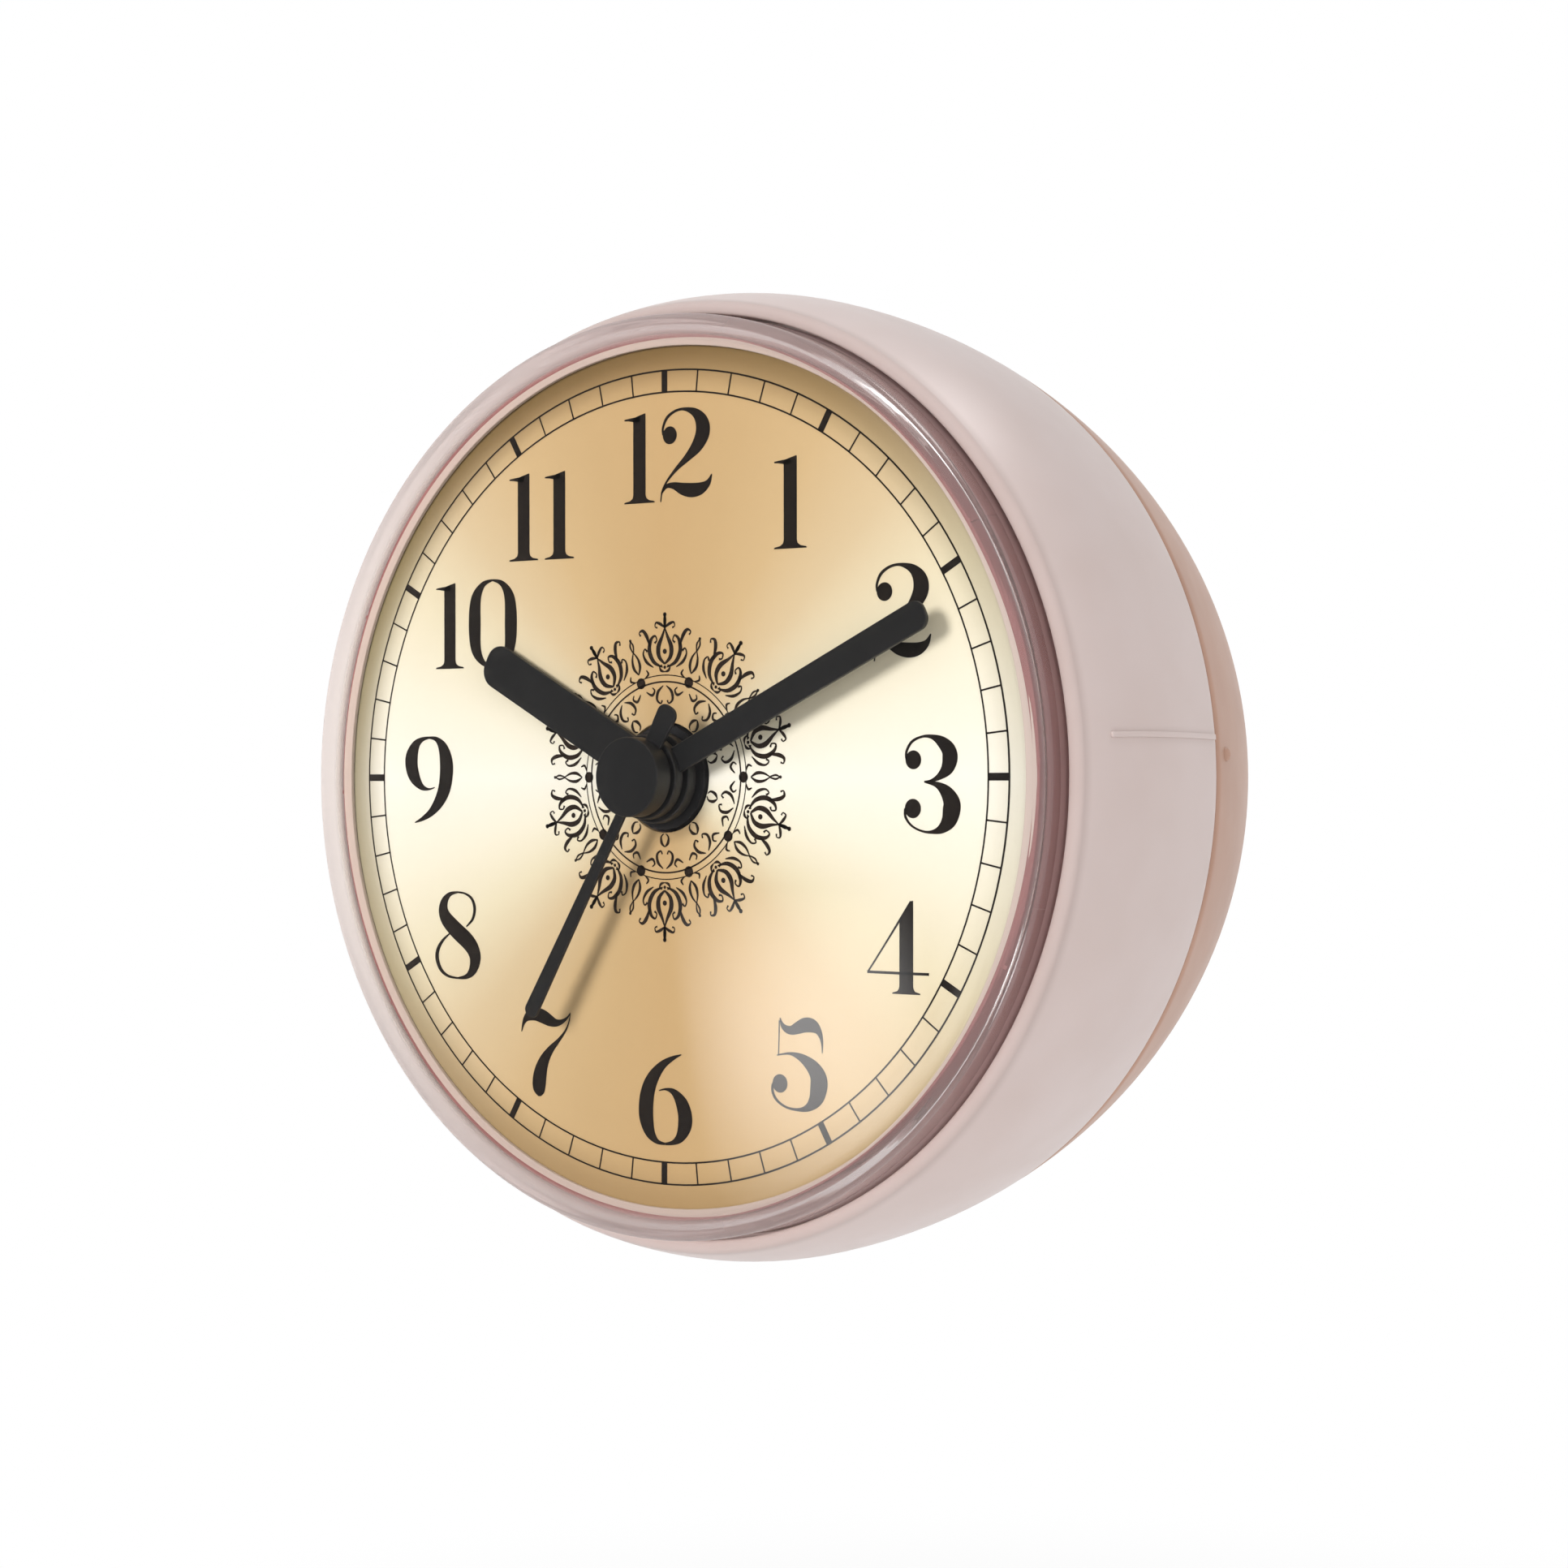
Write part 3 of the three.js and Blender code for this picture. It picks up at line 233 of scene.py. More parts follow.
@dataclass(frozen=True)
class Finish:
    """A moulded or painted surface with a faint cloudiness and a fine grain.

    cloud_mm is how far apart its paler and darker places are, and its glossier and duller places are
    gloss_finer times closer. grain_mm is the spacing of the grain that
    the mould or the paint leaves, drawn somewhat coarser than the real one where that would be too fine
    to show. The grain is stretched along the way that the surface was worked.
    """

    name: str
    color: str
    shade: str
    roughness: float = 0.4
    metallic: float = 0.0
    ior: float = 1.5
    shine: float = 0.5
    cloud_mm: float = 9.0
    cloud_span: tuple[float, float] = (0.3, 0.7)
    cloud_roughness: float = 0.55
    gloss_finer: float = 3.0
    grain_mm: float = 0.35
    grain_depth_mm: float = 0.006
    grain_strength: float = 0.6
    roughness_swing: float = 0.06
    stretch: Point = (1.0, 1.0, 1.0)
    subsurface: float = 0.0
    subsurface_mm: float = 0.6
    subsurface_reach: Point = (1.0, 0.7, 0.6)

    def material(self) -> bpy.types.Material:
        """Makes the finish a material once, and then shares it.

        Returns:
            The material.
        """
        known = bpy.data.materials.get(self.name)
        if known is not None:
            return known
        made = bpy.data.materials.new(self.name)
        tree = emptied(made)
        shader = add(tree, "ShaderNodeBsdfPrincipled", self.look(tree))
        add(tree, "ShaderNodeOutputMaterial", {"Surface": self.surface(tree, shader.outputs["BSDF"])})
        return made

    def surface(self, tree: bpy.types.NodeTree, plain: bpy.types.NodeSocket) -> bpy.types.NodeSocket:
        """The plain surface, or what a finish makes of it."""
        return plain

    def noise(self, tree: bpy.types.NodeTree, spacing_mm: float, detail: float = 2.0) -> bpy.types.Node:
        """A noise whose lumps are as far apart as a real spacing.

        Args:
            tree: The material's node tree.
            spacing_mm: The spacing.
            detail: How many finer layers the noise has.

        Returns:
            The noise.
        """
        where = add(tree, "ShaderNodeTexCoord").outputs["Object"]
        return add(tree, "ShaderNodeTexNoise", {
            "Vector": add(tree, "ShaderNodeMapping", {"Vector": where, "Scale": self.stretch}),
            "Scale": 1 / (spacing_mm * MM), "Detail": detail, "Roughness": self.cloud_roughness})

    def paint(self, tree: bpy.types.NodeTree) -> bpy.types.NodeSocket:
        """The colour, which drifts between two close tones.

        Args:
            tree: The material's node tree.

        Returns:
            The colour socket.
        """
        low, high = self.cloud_span
        made = add(tree, "ShaderNodeValToRGB", {"Fac": self.noise(tree, self.cloud_mm)})
        set_stops(made.color_ramp, [(low, self.shade), (high, self.color)])
        return made.outputs["Color"]

    def relief(self, tree: bpy.types.NodeTree) -> bpy.types.Node:
        """The fine grain of the surface.

        Args:
            tree: The material's node tree.

        Returns:
            The node that gives its relief.
        """
        return add(tree, "ShaderNodeBump", {
            "Height": self.noise(tree, self.grain_mm, 1.0), "Distance": self.grain_depth_mm * MM,
            "Strength": self.grain_strength})

    def gloss(self, tree: bpy.types.NodeTree) -> Any:
        """The roughness, which swings a little over the surface.

        Args:
            tree: The material's node tree.

        Returns:
            The roughness, as a node or a number.
        """
        return add(tree, MAP_RANGE, {
            "Value": self.noise(tree, self.cloud_mm / self.gloss_finer),
            "To Min": self.roughness - self.roughness_swing,
            "To Max": self.roughness + self.roughness_swing})

    def look(self, tree: bpy.types.NodeTree) -> Inputs:
        """Works out what the shader gets.

        Args:
            tree: The material's node tree.

        Returns:
            The shader's inputs by name.
        """
        return {
            "Base Color": self.paint(tree), "Roughness": self.gloss(tree), "Normal": self.relief(tree),
            "Metallic": self.metallic, "IOR": self.ior, "Specular IOR Level": self.shine,
            "Subsurface Weight": self.subsurface, "Subsurface Scale": self.subsurface_mm * MM,
            "Subsurface Radius": self.subsurface_reach,
        }


@dataclass(frozen=True)
class ClearCap(Finish):
    """Polished polystyrene: it shows what is behind it, bends it at the thick rim and mirrors the lamps.

    A veil of painted light lies over the rim: its front from mist_from on, which moves out by mist_lean
    towards three and in towards nine, and its outer wall behind wall_depth, where it covers the shade in
    the gap behind the rim. The veil is pale towards nine and takes the plum of the ring towards three, a
    painted image of the ring seen through the rim.
    """

    grain_strength: float = 0.2
    mist: float = 0.5
    mist_swing: float = 0.38
    mist_from: float = 32.6
    mist_lean: float = 1.0
    mist_width: float = 0.9
    wall_mist: float = 0.7
    wall_from: float = 34.9
    wall_depth: float = -0.1
    # The veil's pale stands in for light, and its plum for the ring seen through the rim
    mist_color: str = "E4DDDA"
    mist_plum: str = "A98885"
    mist_through: float = 0.5

    def look(self, tree: bpy.types.NodeTree) -> Inputs:
        """A clear tint and an even polish; see the plain finish.

        Args:
            tree: The material's node tree.

        Returns:
            The shader's inputs by name.
        """
        return {
            "Base Color": linear(self.color), "Roughness": self.roughness, "IOR": self.ior,
            "Transmission Weight": 1.0, "Normal": self.relief(tree),
        }

    def relief(self, tree: bpy.types.NodeTree) -> bpy.types.Node:
        """The faint waviness that moulding leaves.

        Args:
            tree: The material's node tree.

        Returns:
            The node that gives its relief.
        """
        return add(tree, "ShaderNodeBump", {
            "Height": self.noise(tree, self.cloud_mm, 0.0), "Distance": self.grain_depth_mm * MM,
            "Strength": self.grain_strength})

    def mist_share(self, tree: bpy.types.NodeTree) -> bpy.types.Node:
        """Works out how much painted veil each place of the cap shows.

        Args:
            tree: The material's node tree.

        Returns:
            A node that gives 0 where the cap is clear and up to 1 where it is all painted veil.
        """
        turn, radius = polar(tree)
        side = add(tree, MATH, {0: turn}, operation="SINE")
        start = add(tree, MATH, {0: side, 1: self.mist_lean, 2: self.mist_from}, operation="MULTIPLY_ADD")
        most = add(tree, MATH, {0: side, 1: -self.mist_swing, 2: self.mist}, operation="MULTIPLY_ADD")
        front = add(tree, MAP_RANGE, {
            "Value": add(tree, MATH, {0: radius, 1: start}, operation="SUBTRACT"),
            "From Max": self.mist_width, "To Max": most}, interpolation_type="SMOOTHSTEP")
        behind = add(tree, MATH, {0: own_place(tree)["Y"], 1: at_depth(self.wall_depth)},
                     operation="GREATER_THAN")
        outer = add(tree, MATH, {0: radius, 1: self.wall_from}, operation="GREATER_THAN")
        edge = add(tree, MATH, {0: outer, 1: behind}, operation="MULTIPLY")
        wall = add(tree, MATH, {0: edge, 1: self.wall_mist}, operation="MULTIPLY")
        return add(tree, MATH, {0: front, 1: wall}, operation="MAXIMUM")

    def surface(self, tree: bpy.types.NodeTree, plain: bpy.types.NodeSocket) -> bpy.types.NodeSocket:
        """Lays the painted veil over the rim, and lets the light of the lamps through to what the cap
        covers.

        Args:
            tree: The material's node tree.
            plain: The clear surface.

        Returns:
            The surface with its painted veil.
        """
        side = add(tree, MATH, {0: polar(tree)[0]}, operation="SINE")
        right = add(tree, MATH, {0: side, 1: 0.5, 2: 0.5}, operation="MULTIPLY_ADD")
        color = add(tree, "ShaderNodeMix", {
            "Factor": right, "A": linear(self.mist_color), "B": linear(self.mist_plum)},
            data_type="RGBA").outputs["Result"]
        # Painted light: a lit haze whose colour runs from pale towards nine to plum towards three
        veil_shader = add(tree, MIX_SHADER, {
            0: self.mist_through, 1: add(tree, "ShaderNodeBsdfDiffuse", {"Color": color}),
            2: add(tree, "ShaderNodeBsdfTranslucent", {"Color": color})})
        body = add(tree, MIX_SHADER, {0: self.mist_share(tree), 1: plain, 2: veil_shader})
        return lit_through(tree, body.outputs["Shader"], self.shade)


@dataclass(frozen=True)
class SoftVinyl(Finish):
    """Soft clear vinyl: milky at its thick places and glossy."""

    clearness: float = 0.9
    passed: str = "D9DCDD"

    def look(self, tree: bpy.types.NodeTree) -> Inputs:
        """The plain finish with most of the light let through."""
        return {**super().look(tree), "Transmission Weight": self.clearness}

    def surface(self, tree: bpy.types.NodeTree, plain: bpy.types.NodeSocket) -> bpy.types.NodeSocket:
        """Lets most of the light of the lamps through to what the cup covers."""
        return lit_through(tree, plain, self.passed)


@dataclass(frozen=True)
class SunburstGold(Finish):
    """Gold foil print with a sunburst whose sheen is painted: dark gold towards twelve and six, cream
    towards three and nine, as its lines catch lamps to either side.

    Painted shade of the rim darkens the colour softly from edge_from to the rim, by edge_deep and
    edge_swing, and most of all towards the clock direction edge_turn. Fine lines run out from the middle.
    """

    radius: float = 33.0
    edge_from: float = 28.1
    # The colour of the painted rim shade
    edge_color: str = "8C8468"
    edge_turn: float = -45.0
    edge_deep: float = 0.62
    edge_swing: float = 0.36
    line_count: float = 420.0
    line_drift: float = 0.12
    line_scale: float = 0.5
    # Painted sheen: dark gold towards twelve and six, cream towards three and nine
    sweep: tuple[tuple[float, str], ...] = (
        (0.0, "CDAE7C"), (0.17, "CFB281"), (0.33, "D6BB8B"), (0.5, "DFCBA2"), (0.67, "EFE7C6"),
        (0.83, "FAF7E0"), (1.0, "FFFFF0"))

    def paint(self, tree: bpy.types.NodeTree) -> bpy.types.NodeSocket:
        """The gold with its painted sheen round the dial, and painted shade towards the rim.

        Args:
            tree: The material's node tree.

        Returns:
            The colour socket.
        """
        turn, radius = polar(tree)
        # Painted sheen, set by how far the clock direction leans from twelve or six
        upright = add(tree, MATH, {0: add(tree, MATH, {0: turn}, operation="COSINE")}, operation="ABSOLUTE")
        lean = add(tree, MATH, {0: upright}, operation="ARCCOSINE")
        share = add(tree, MATH, {0: lean, 1: 2 / math.pi}, operation="MULTIPLY")
        gold = add(tree, "ShaderNodeValToRGB", {"Fac": share})
        set_stops(gold.color_ramp, self.sweep)
        # Painted shade: darker towards the rim, most of all towards edge_turn
        near = add(tree, MAP_RANGE, {
            "Value": radius, "From Min": self.edge_from, "From Max": self.radius},
            interpolation_type="SMOOTHERSTEP")
        away = add(tree, MATH, {0: turn, 1: -math.radians(self.edge_turn)}, operation="ADD")
        side = add(tree, MATH, {0: away}, operation="COSINE")
        deep = add(tree, MATH, {0: side, 1: self.edge_swing, 2: self.edge_deep}, operation="MULTIPLY_ADD")
        darker = add(tree, MATH, {0: near, 1: deep}, operation="MULTIPLY")
        return add(tree, "ShaderNodeMix", {"Factor": darker, "A": gold, "B": linear(self.edge_color)},
                   data_type="RGBA", blend_type="MULTIPLY").outputs["Result"]

    def relief(self, tree: bpy.types.NodeTree) -> bpy.types.Node:
        """The fine lines that run out from the middle.

        Args:
            tree: The material's node tree.

        Returns:
            The node that gives their relief.
        """
        turn, radius = polar(tree)
        spot = add(tree, "ShaderNodeCombineXYZ", {
            "X": add(tree, MATH, {0: turn, 1: self.line_count}, operation="MULTIPLY"),
            "Y": add(tree, MATH, {0: radius, 1: self.line_drift}, operation="MULTIPLY")})
        lines = add(tree, "ShaderNodeTexNoise", {"Vector": spot, "Scale": self.line_scale, "Detail": 1.0})
        return add(tree, "ShaderNodeBump", {
            "Height": lines, "Distance": self.grain_depth_mm * MM, "Strength": self.grain_strength})

    def gloss(self, tree: bpy.types.NodeTree) -> Any:
        """An even roughness, because the print is smooth."""
        return self.roughness


@dataclass(frozen=True)
class BandedJacket(Finish):
    """A dry cell's sleeve: bare steel ends and two plain bands of foil colour along its length."""

    half_length: float = 22.25
    bands: tuple[tuple[float, str], ...] = (
        (0.0, "C9CBCC"), (0.045, "2F4A63"), (0.70, "B9BFC6"), (0.73, "51718C"), (0.965, "C9CBCC"))

    def paint(self, tree: bpy.types.NodeTree) -> bpy.types.NodeSocket:
        """Bands that follow the cell's length.

        Args:
            tree: The material's node tree.

        Returns:
            The colour socket.
        """
        end = self.half_length * MM
        share = add(tree, MAP_RANGE, {"Value": own_place(tree)["X"], "From Min": -end, "From Max": end})
        made = add(tree, "ShaderNodeValToRGB", {"Fac": share})
        set_stops(made.color_ramp, self.bands, "CONSTANT")
        return made.outputs["Color"]


@dataclass(frozen=True)
class WoundCopper(Finish):
    """Enamelled copper wire wound in close turns, drawn at twice the real thickness of the wire."""

    turn_mm: float = 0.16
    ridge_mm: float = 0.05
    ridge_strength: float = 0.8
    unevenness: float = 0.4

    def relief(self, tree: bpy.types.NodeTree) -> bpy.types.Node:
        """A ridge for each turn of the wire.

        Args:
            tree: The material's node tree.

        Returns:
            The node that gives the ridges' relief.
        """
        waves = math.tau / WAVES / (self.turn_mm * MM)
        where = add(tree, "ShaderNodeTexCoord").outputs["Object"]
        turns = add(tree, "ShaderNodeTexWave", {
            "Vector": where, "Scale": waves, "Distortion": self.unevenness}, bands_direction="X")
        return add(tree, "ShaderNodeBump", {
            "Height": turns.outputs["Fac"], "Distance": self.ridge_mm * MM,
            "Strength": self.ridge_strength})


@dataclass(frozen=True)
class PrintedBoard(Finish):
    """Green solder mask over copper tracks, which show as a paler net."""

    track_mm: float = 1.3
    track_color: str = "6F9A5B"
    track_width: float = 0.09
    pad_length: float = 1.7
    pad_height: float = 0.9

    def paint(self, tree: bpy.types.NodeTree) -> bpy.types.NodeSocket:
        """Tracks in a paler green than the mask between them, drawn on the board's flat face.

        Args:
            tree: The material's node tree.

        Returns:
            The colour socket.
        """
        place = own_place(tree)
        flat = add(tree, "ShaderNodeCombineXYZ", {"X": place["X"], "Y": place["Z"]})
        net = add(tree, "ShaderNodeTexBrick", {
            "Vector": flat, "Scale": 1 / (self.track_mm * MM), "Mortar Size": self.track_width,
            "Brick Width": self.pad_length, "Row Height": self.pad_height,
            "Color1": linear(self.color), "Color2": linear(self.shade), "Mortar": linear(self.track_color)})
        return net.outputs["Color"]


@dataclass(frozen=True)
class MouthedShell(Finish):
    """Satin plastic that looks a little deeper round the barrel's mouth, in the shade of the clear rim."""

    mouth: str = "E8E5E4"
    mouth_depth: float = 0.8
    plain_depth: float = 1.8

    def paint(self, tree: bpy.types.NodeTree) -> bpy.types.NodeSocket:
        """The drifting colour, deeper in front of plain_depth.

        Args:
            tree: The material's node tree.

        Returns:
            The colour socket.
        """
        share = add(tree, MAP_RANGE, {
            "Value": own_place(tree)["Y"], "From Min": at_depth(self.plain_depth),
            "From Max": at_depth(self.mouth_depth)}, interpolation_type="SMOOTHSTEP")
        return add(tree, "ShaderNodeMix", {
            "Factor": share, "A": super().paint(tree), "B": linear(self.mouth)},
            data_type="RGBA", blend_type="MULTIPLY").outputs["Result"]


@dataclass(frozen=True)
class LippedRing(Finish):
    """Plum plastic whose front lip is painted pale inside lip_radius: a painted highlight where the lip
    catches the light, with the plum beyond it partly painted shade.

    The pale part is narrower by lip_lean at twelve and at six.
    """

    # The lip's pale is a painted highlight
    lip: str = "CABBB0"
    lip_radius: float = 33.3
    lip_lean: float = 0.25

    def paint(self, tree: bpy.types.NodeTree) -> bpy.types.NodeSocket:
        """A painted highlight, pale inside the lip's radius, and plum outside.

        Args:
            tree: The material's node tree.

        Returns:
            The colour socket.
        """
        turn, radius = polar(tree)
        upright = add(tree, MATH, {0: add(tree, MATH, {0: turn}, operation="COSINE")}, operation="ABSOLUTE")
        end = add(tree, MATH, {0: upright, 1: -self.lip_lean, 2: self.lip_radius}, operation="MULTIPLY_ADD")
        outside = add(tree, MATH, {0: radius, 1: end}, operation="GREATER_THAN")
        return add(tree, "ShaderNodeMix", {
            "Factor": outside, "A": linear(self.lip), "B": super().paint(tree)},
            data_type="RGBA").outputs["Result"]


# Spark-eroded ABS: a soft even sheen with hardly any grain
SHELL_ABS = MouthedShell("shell_satin_abs", color="CBBBB7", shade="C7B6B1", roughness=0.36,
                         subsurface=0.06, grain_depth_mm=0.004, shine=0.35)
COVER_ABS = Finish("cover_satin_abs", color="B69280", shade="AF8B79", roughness=0.4, subsurface=0.05,
                   grain_depth_mm=0.004, shine=0.3)
# Dusty plum ABS, the plum partly painted shade, from a polished mould, so that it shows bands of light
# under the clear rim
RING_ABS = LippedRing("ring_plum_abs", color="9C6664", shade="8C5957", roughness=0.3, shine=0.3,
                      grain_mm=0.6, grain_depth_mm=0.004)
# Polystyrene from a polished mould: crisp mirrored light, and a faint waviness
CAP_STYRENE = ClearCap("cap_clear_styrene", color="FFFDFD", shade="FEFCFC", roughness=0.02, ior=1.55,
                       cloud_mm=14.0, grain_depth_mm=0.02)
# Moulded silicone rubber: dull and slightly see-through at its edges
SEAL_SILICONE = Finish("seal_silicone", color="EDE9E6", shade="E5E0DC", roughness=0.55, subsurface=0.2)
# Varnished foil print: warm gold whose fine lines break up the light, with painted sheen and painted shade
# in its colour
DIAL_GOLD = SunburstGold("dial_sunburst_gold", color="E0C896", shade="C9A978", roughness=0.42,
                         grain_depth_mm=0.01, grain_strength=0.35)
# Screen-printed ink: near black and a little rough
DIAL_INK = Finish("dial_screen_ink", color="120D0A", shade="1A130E", roughness=0.5, grain_mm=0.12,
                  grain_depth_mm=0.003)
ROSETTE_INK = Finish("rosette_screen_ink", color="2A1E14", shade="1E150F", roughness=0.5, grain_mm=0.12,
                     grain_depth_mm=0.003)
# Stamped aluminium hands under matt black paint, whose fine orange peel breaks up the light
HAND_PAINT = Finish("hand_matt_black_paint", color="1F2021", shade="191A1B", roughness=0.5,
                    grain_mm=0.18, grain_depth_mm=0.008)
# Textured black ABS: dull, with a sandy grain
MOVEMENT_ABS = Finish("movement_textured_abs", color="2C2D2F", shade="232426", roughness=0.55,
                      grain_mm=0.3, grain_depth_mm=0.02)
# Moulded acetal: milky white with a soft gloss
WHEEL_ACETAL = Finish("wheel_moulded_acetal", color="EFECE2", shade="E6E2D6", roughness=0.35,
                      subsurface=0.1)
# Rolled and stamped steel, with its grain along the strip
STAMPED_STEEL = Finish("stamped_steel", color="C6C8CA", shade="B5B8BB", roughness=0.28, metallic=1.0,
                       grain_mm=0.5, grain_depth_mm=0.004, stretch=(0.12, 1.0, 1.0))
# Zinc-plated steel: bright, with a faint blue-grey cloud
SCREW_STEEL = Finish("zinc_plated_screw", color="BFC3C6", shade="AEB2B8", roughness=0.3, metallic=1.0,
                     grain_mm=0.3)
# Sintered magnet: dark grey metal with a dull skin
MAGNET_STEEL = Finish("sintered_magnet", color="7E8084", shade="6C6E72", roughness=0.45, metallic=1.0,
                      grain_mm=0.2)
# Enamelled copper wire: warm metal with a ridge for each turn
COIL_COPPER = WoundCopper("enamelled_copper", color="B8683A", shade="9C5128", roughness=0.3,
                          metallic=1.0)
# Solder mask on glass cloth: glossy green over paler tracks
BOARD_MASK = PrintedBoard("solder_mask", color="1F5C3A", shade="2A6B45", roughness=0.35)
# Potting epoxy: a shiny black drop
CHIP_EPOXY = Finish("potting_epoxy", color="1B1B1D", shade="252527", roughness=0.3, cloud_mm=2.0)
# Foil sleeve shrunk over steel: a soft metal sheen
CELL_JACKET = BandedJacket("foil_cell_jacket", color="4D5F73", shade="3E5064", roughness=0.28,
                           metallic=0.6, grain_depth_mm=0.002)
# Clear soft vinyl: glossy, and milky where it is thick
CUP_VINYL = SoftVinyl("cup_soft_vinyl", color="F6F8F8", shade="EEF1F2", roughness=0.09, ior=1.45,
                      grain_depth_mm=0.003, roughness_swing=0.03)


# Shapes

CORNER_STEPS = 5
EDGE_STEPS = 3
# The bevel profile that is an arc of a circle
ROUND_PROFILE = 0.5
# A round bar's ends have more corners than the four of the faces round it
QUAD = 4
# How deep a detail is rooted in what carries it
ROOT = 0.05
# How far back from a corner its rounding starts
CRISP = 0.08
SLIGHT = 0.1
SMALL = 0.2
SOFT = 0.3
EASY = 0.4
BROAD = 0.5
WIDE = 0.8


def finished(name: str, shape: bmesh.types.BMesh, finish: Finish, body: Body,
             replaces: Sequence[str] = (), smooth_deg: float = 32.0) -> bpy.types.Object:
    """Turns a finished bmesh in millimetres into a piece that rides on its body.

    Args:
        name: The piece's name.
        shape: The bmesh, drawn in X, depth and Z; it is freed here.
        finish: What its surface is.
        body: What it moves with.
        replaces: Nodes of the model that it stands for.
        smooth_deg: Edges that bend more than this stay sharp.

    Returns:
        The piece.
    """
    bmesh.ops.transform(shape, matrix=Matrix.Scale(MM, 4) @ Matrix.Translation((0, -WALL_DEPTH, 0)),
                        verts=shape.verts)
    mesh = bpy.data.meshes.new(name)
    shape.to_mesh(mesh)
    shape.free()
    mesh.polygons.foreach_set("use_smooth", [True] * len(mesh.polygons))
    mesh.set_sharp_from_angle(angle=math.radians(smooth_deg))
    piece = bpy.data.objects.new(name, mesh)
    bpy.context.scene.collection.objects.link(piece)
    mesh.materials.append(finish.material())
    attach(piece, body.value)
    if replaces:
        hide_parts(*replaces)
    even = piece.modifiers.new("even_shading", "WEIGHTED_NORMAL")
    even.keep_sharp = True
    log.info("%s: %d faces on body %s", name, len(mesh.polygons), body.value)
    return piece


def close_up(shape: bmesh.types.BMesh) -> None:
    """Merges doubled corners and turns every face outwards."""
    bmesh.ops.remove_doubles(shape, verts=shape.verts, dist=MERGE_MM)
    bmesh.ops.recalc_face_normals(shape, faces=shape.faces)


def drawn_profile(shape: bmesh.types.BMesh, points: Profile, closed: bool) -> list[bmesh.types.BMEdge]:
    """Draws a profile in radius and depth and rounds the corners that ask for it.

    Args:
        shape: The bmesh that gets the profile.
        points: Radius, depth and, where the corner is rounded, how far back the round starts.
        closed: Whether the last point joins the first.

    Returns:
        The profile's edges.
    """
    corners = [shape.verts.new((point[0], point[1], 0.0)) for point in points]
    pairs = list(zip(corners, corners[1:])) + ([(corners[-1], corners[0])] if closed else [])
    for pair in pairs:
        shape.edges.new(pair)
    for corner, point in zip(corners, points):
        if len(point) > 2:
            bmesh.ops.bevel(shape, geom=[corner], offset=point[2], offset_type="OFFSET",
                            segments=CORNER_STEPS, profile=ROUND_PROFILE, affect="VERTICES", material=-1)
    return shape.edges[:]


def spin(shape: bmesh.types.BMesh, geometry: Iterable[Any], turn_deg: float = FULL_TURN,
         steps: int = ROUND_STEPS) -> None:
    """Spins geometry about the hand axis.

    Args:
        shape: The bmesh that holds it.
        geometry: The vertices, edges and faces to spin.
        turn_deg: How far round it goes.
        steps: Facets on the way.
    """
    bmesh.ops.spin(shape, geom=list(geometry), cent=(0, 0, 0), axis=AXIS, dvec=(0, 0, 0),
                   angle=math.radians(turn_deg), steps=steps, use_merge=turn_deg == FULL_TURN,
                   use_normal_flip=False, use_duplicate=False)


def turned(points: Profile, steps: int = ROUND_STEPS) -> bmesh.types.BMesh:
    """A closed solid of revolution from its profile.

    Args:
        points: Radius and depth of each corner, with a third number where it is rounded. A profile that
            starts on the axis also ends there.
        steps: Facets round the axis.

    Returns:
        The bmesh.
    """
    shape = bmesh.new()
    edges = drawn_profile(shape, points, points[0][0] > 0)
    spin(shape, shape.verts[:] + edges, steps=steps)
    close_up(shape)
    return shape


def sector(shape: bmesh.types.BMesh, corners: Profile, direction: float, width_deg: float,
           steps: int = 12) -> None:
    """Adds a closed section swept part of the way round, centred on a clock direction.

    Args:
        shape: The bmesh that gets it.
        corners: Radius and depth of the section's corners.
        direction: The clock direction of its middle, in degrees.
        width_deg: How far round it reaches.
        steps: Facets along it.
    """
    part = bmesh.new()
    face = part.faces.new([part.verts.new((radius, depth, 0.0)) for radius, depth in corners])
    spin(part, [face, *face.edges, *face.verts], width_deg, steps)
    close_up(part)
    bmesh.ops.rotate(part, verts=part.verts, cent=(0, 0, 0),
                     matrix=clock_turn(direction - FULL_TURN / 4 - width_deg / 2).to_3x3())
    join(shape, part)


def join(shape: bmesh.types.BMesh, part: bmesh.types.BMesh) -> None:
    """Adds a part to a shape and frees the part.

    Args:
        shape: The bmesh that gets it.
        part: The bmesh that is added.
    """
    mesh = bpy.data.meshes.new("part")
    part.to_mesh(mesh)
    part.free()
    shape.from_mesh(mesh)
    bpy.data.meshes.remove(mesh)


def box_section(inner: float, outer: float, front: float, rear: float) -> list[tuple[float, float]]:
    """Corners of a rectangular section in radius and depth."""
    return [(inner, front), (outer, front), (outer, rear), (inner, rear)]


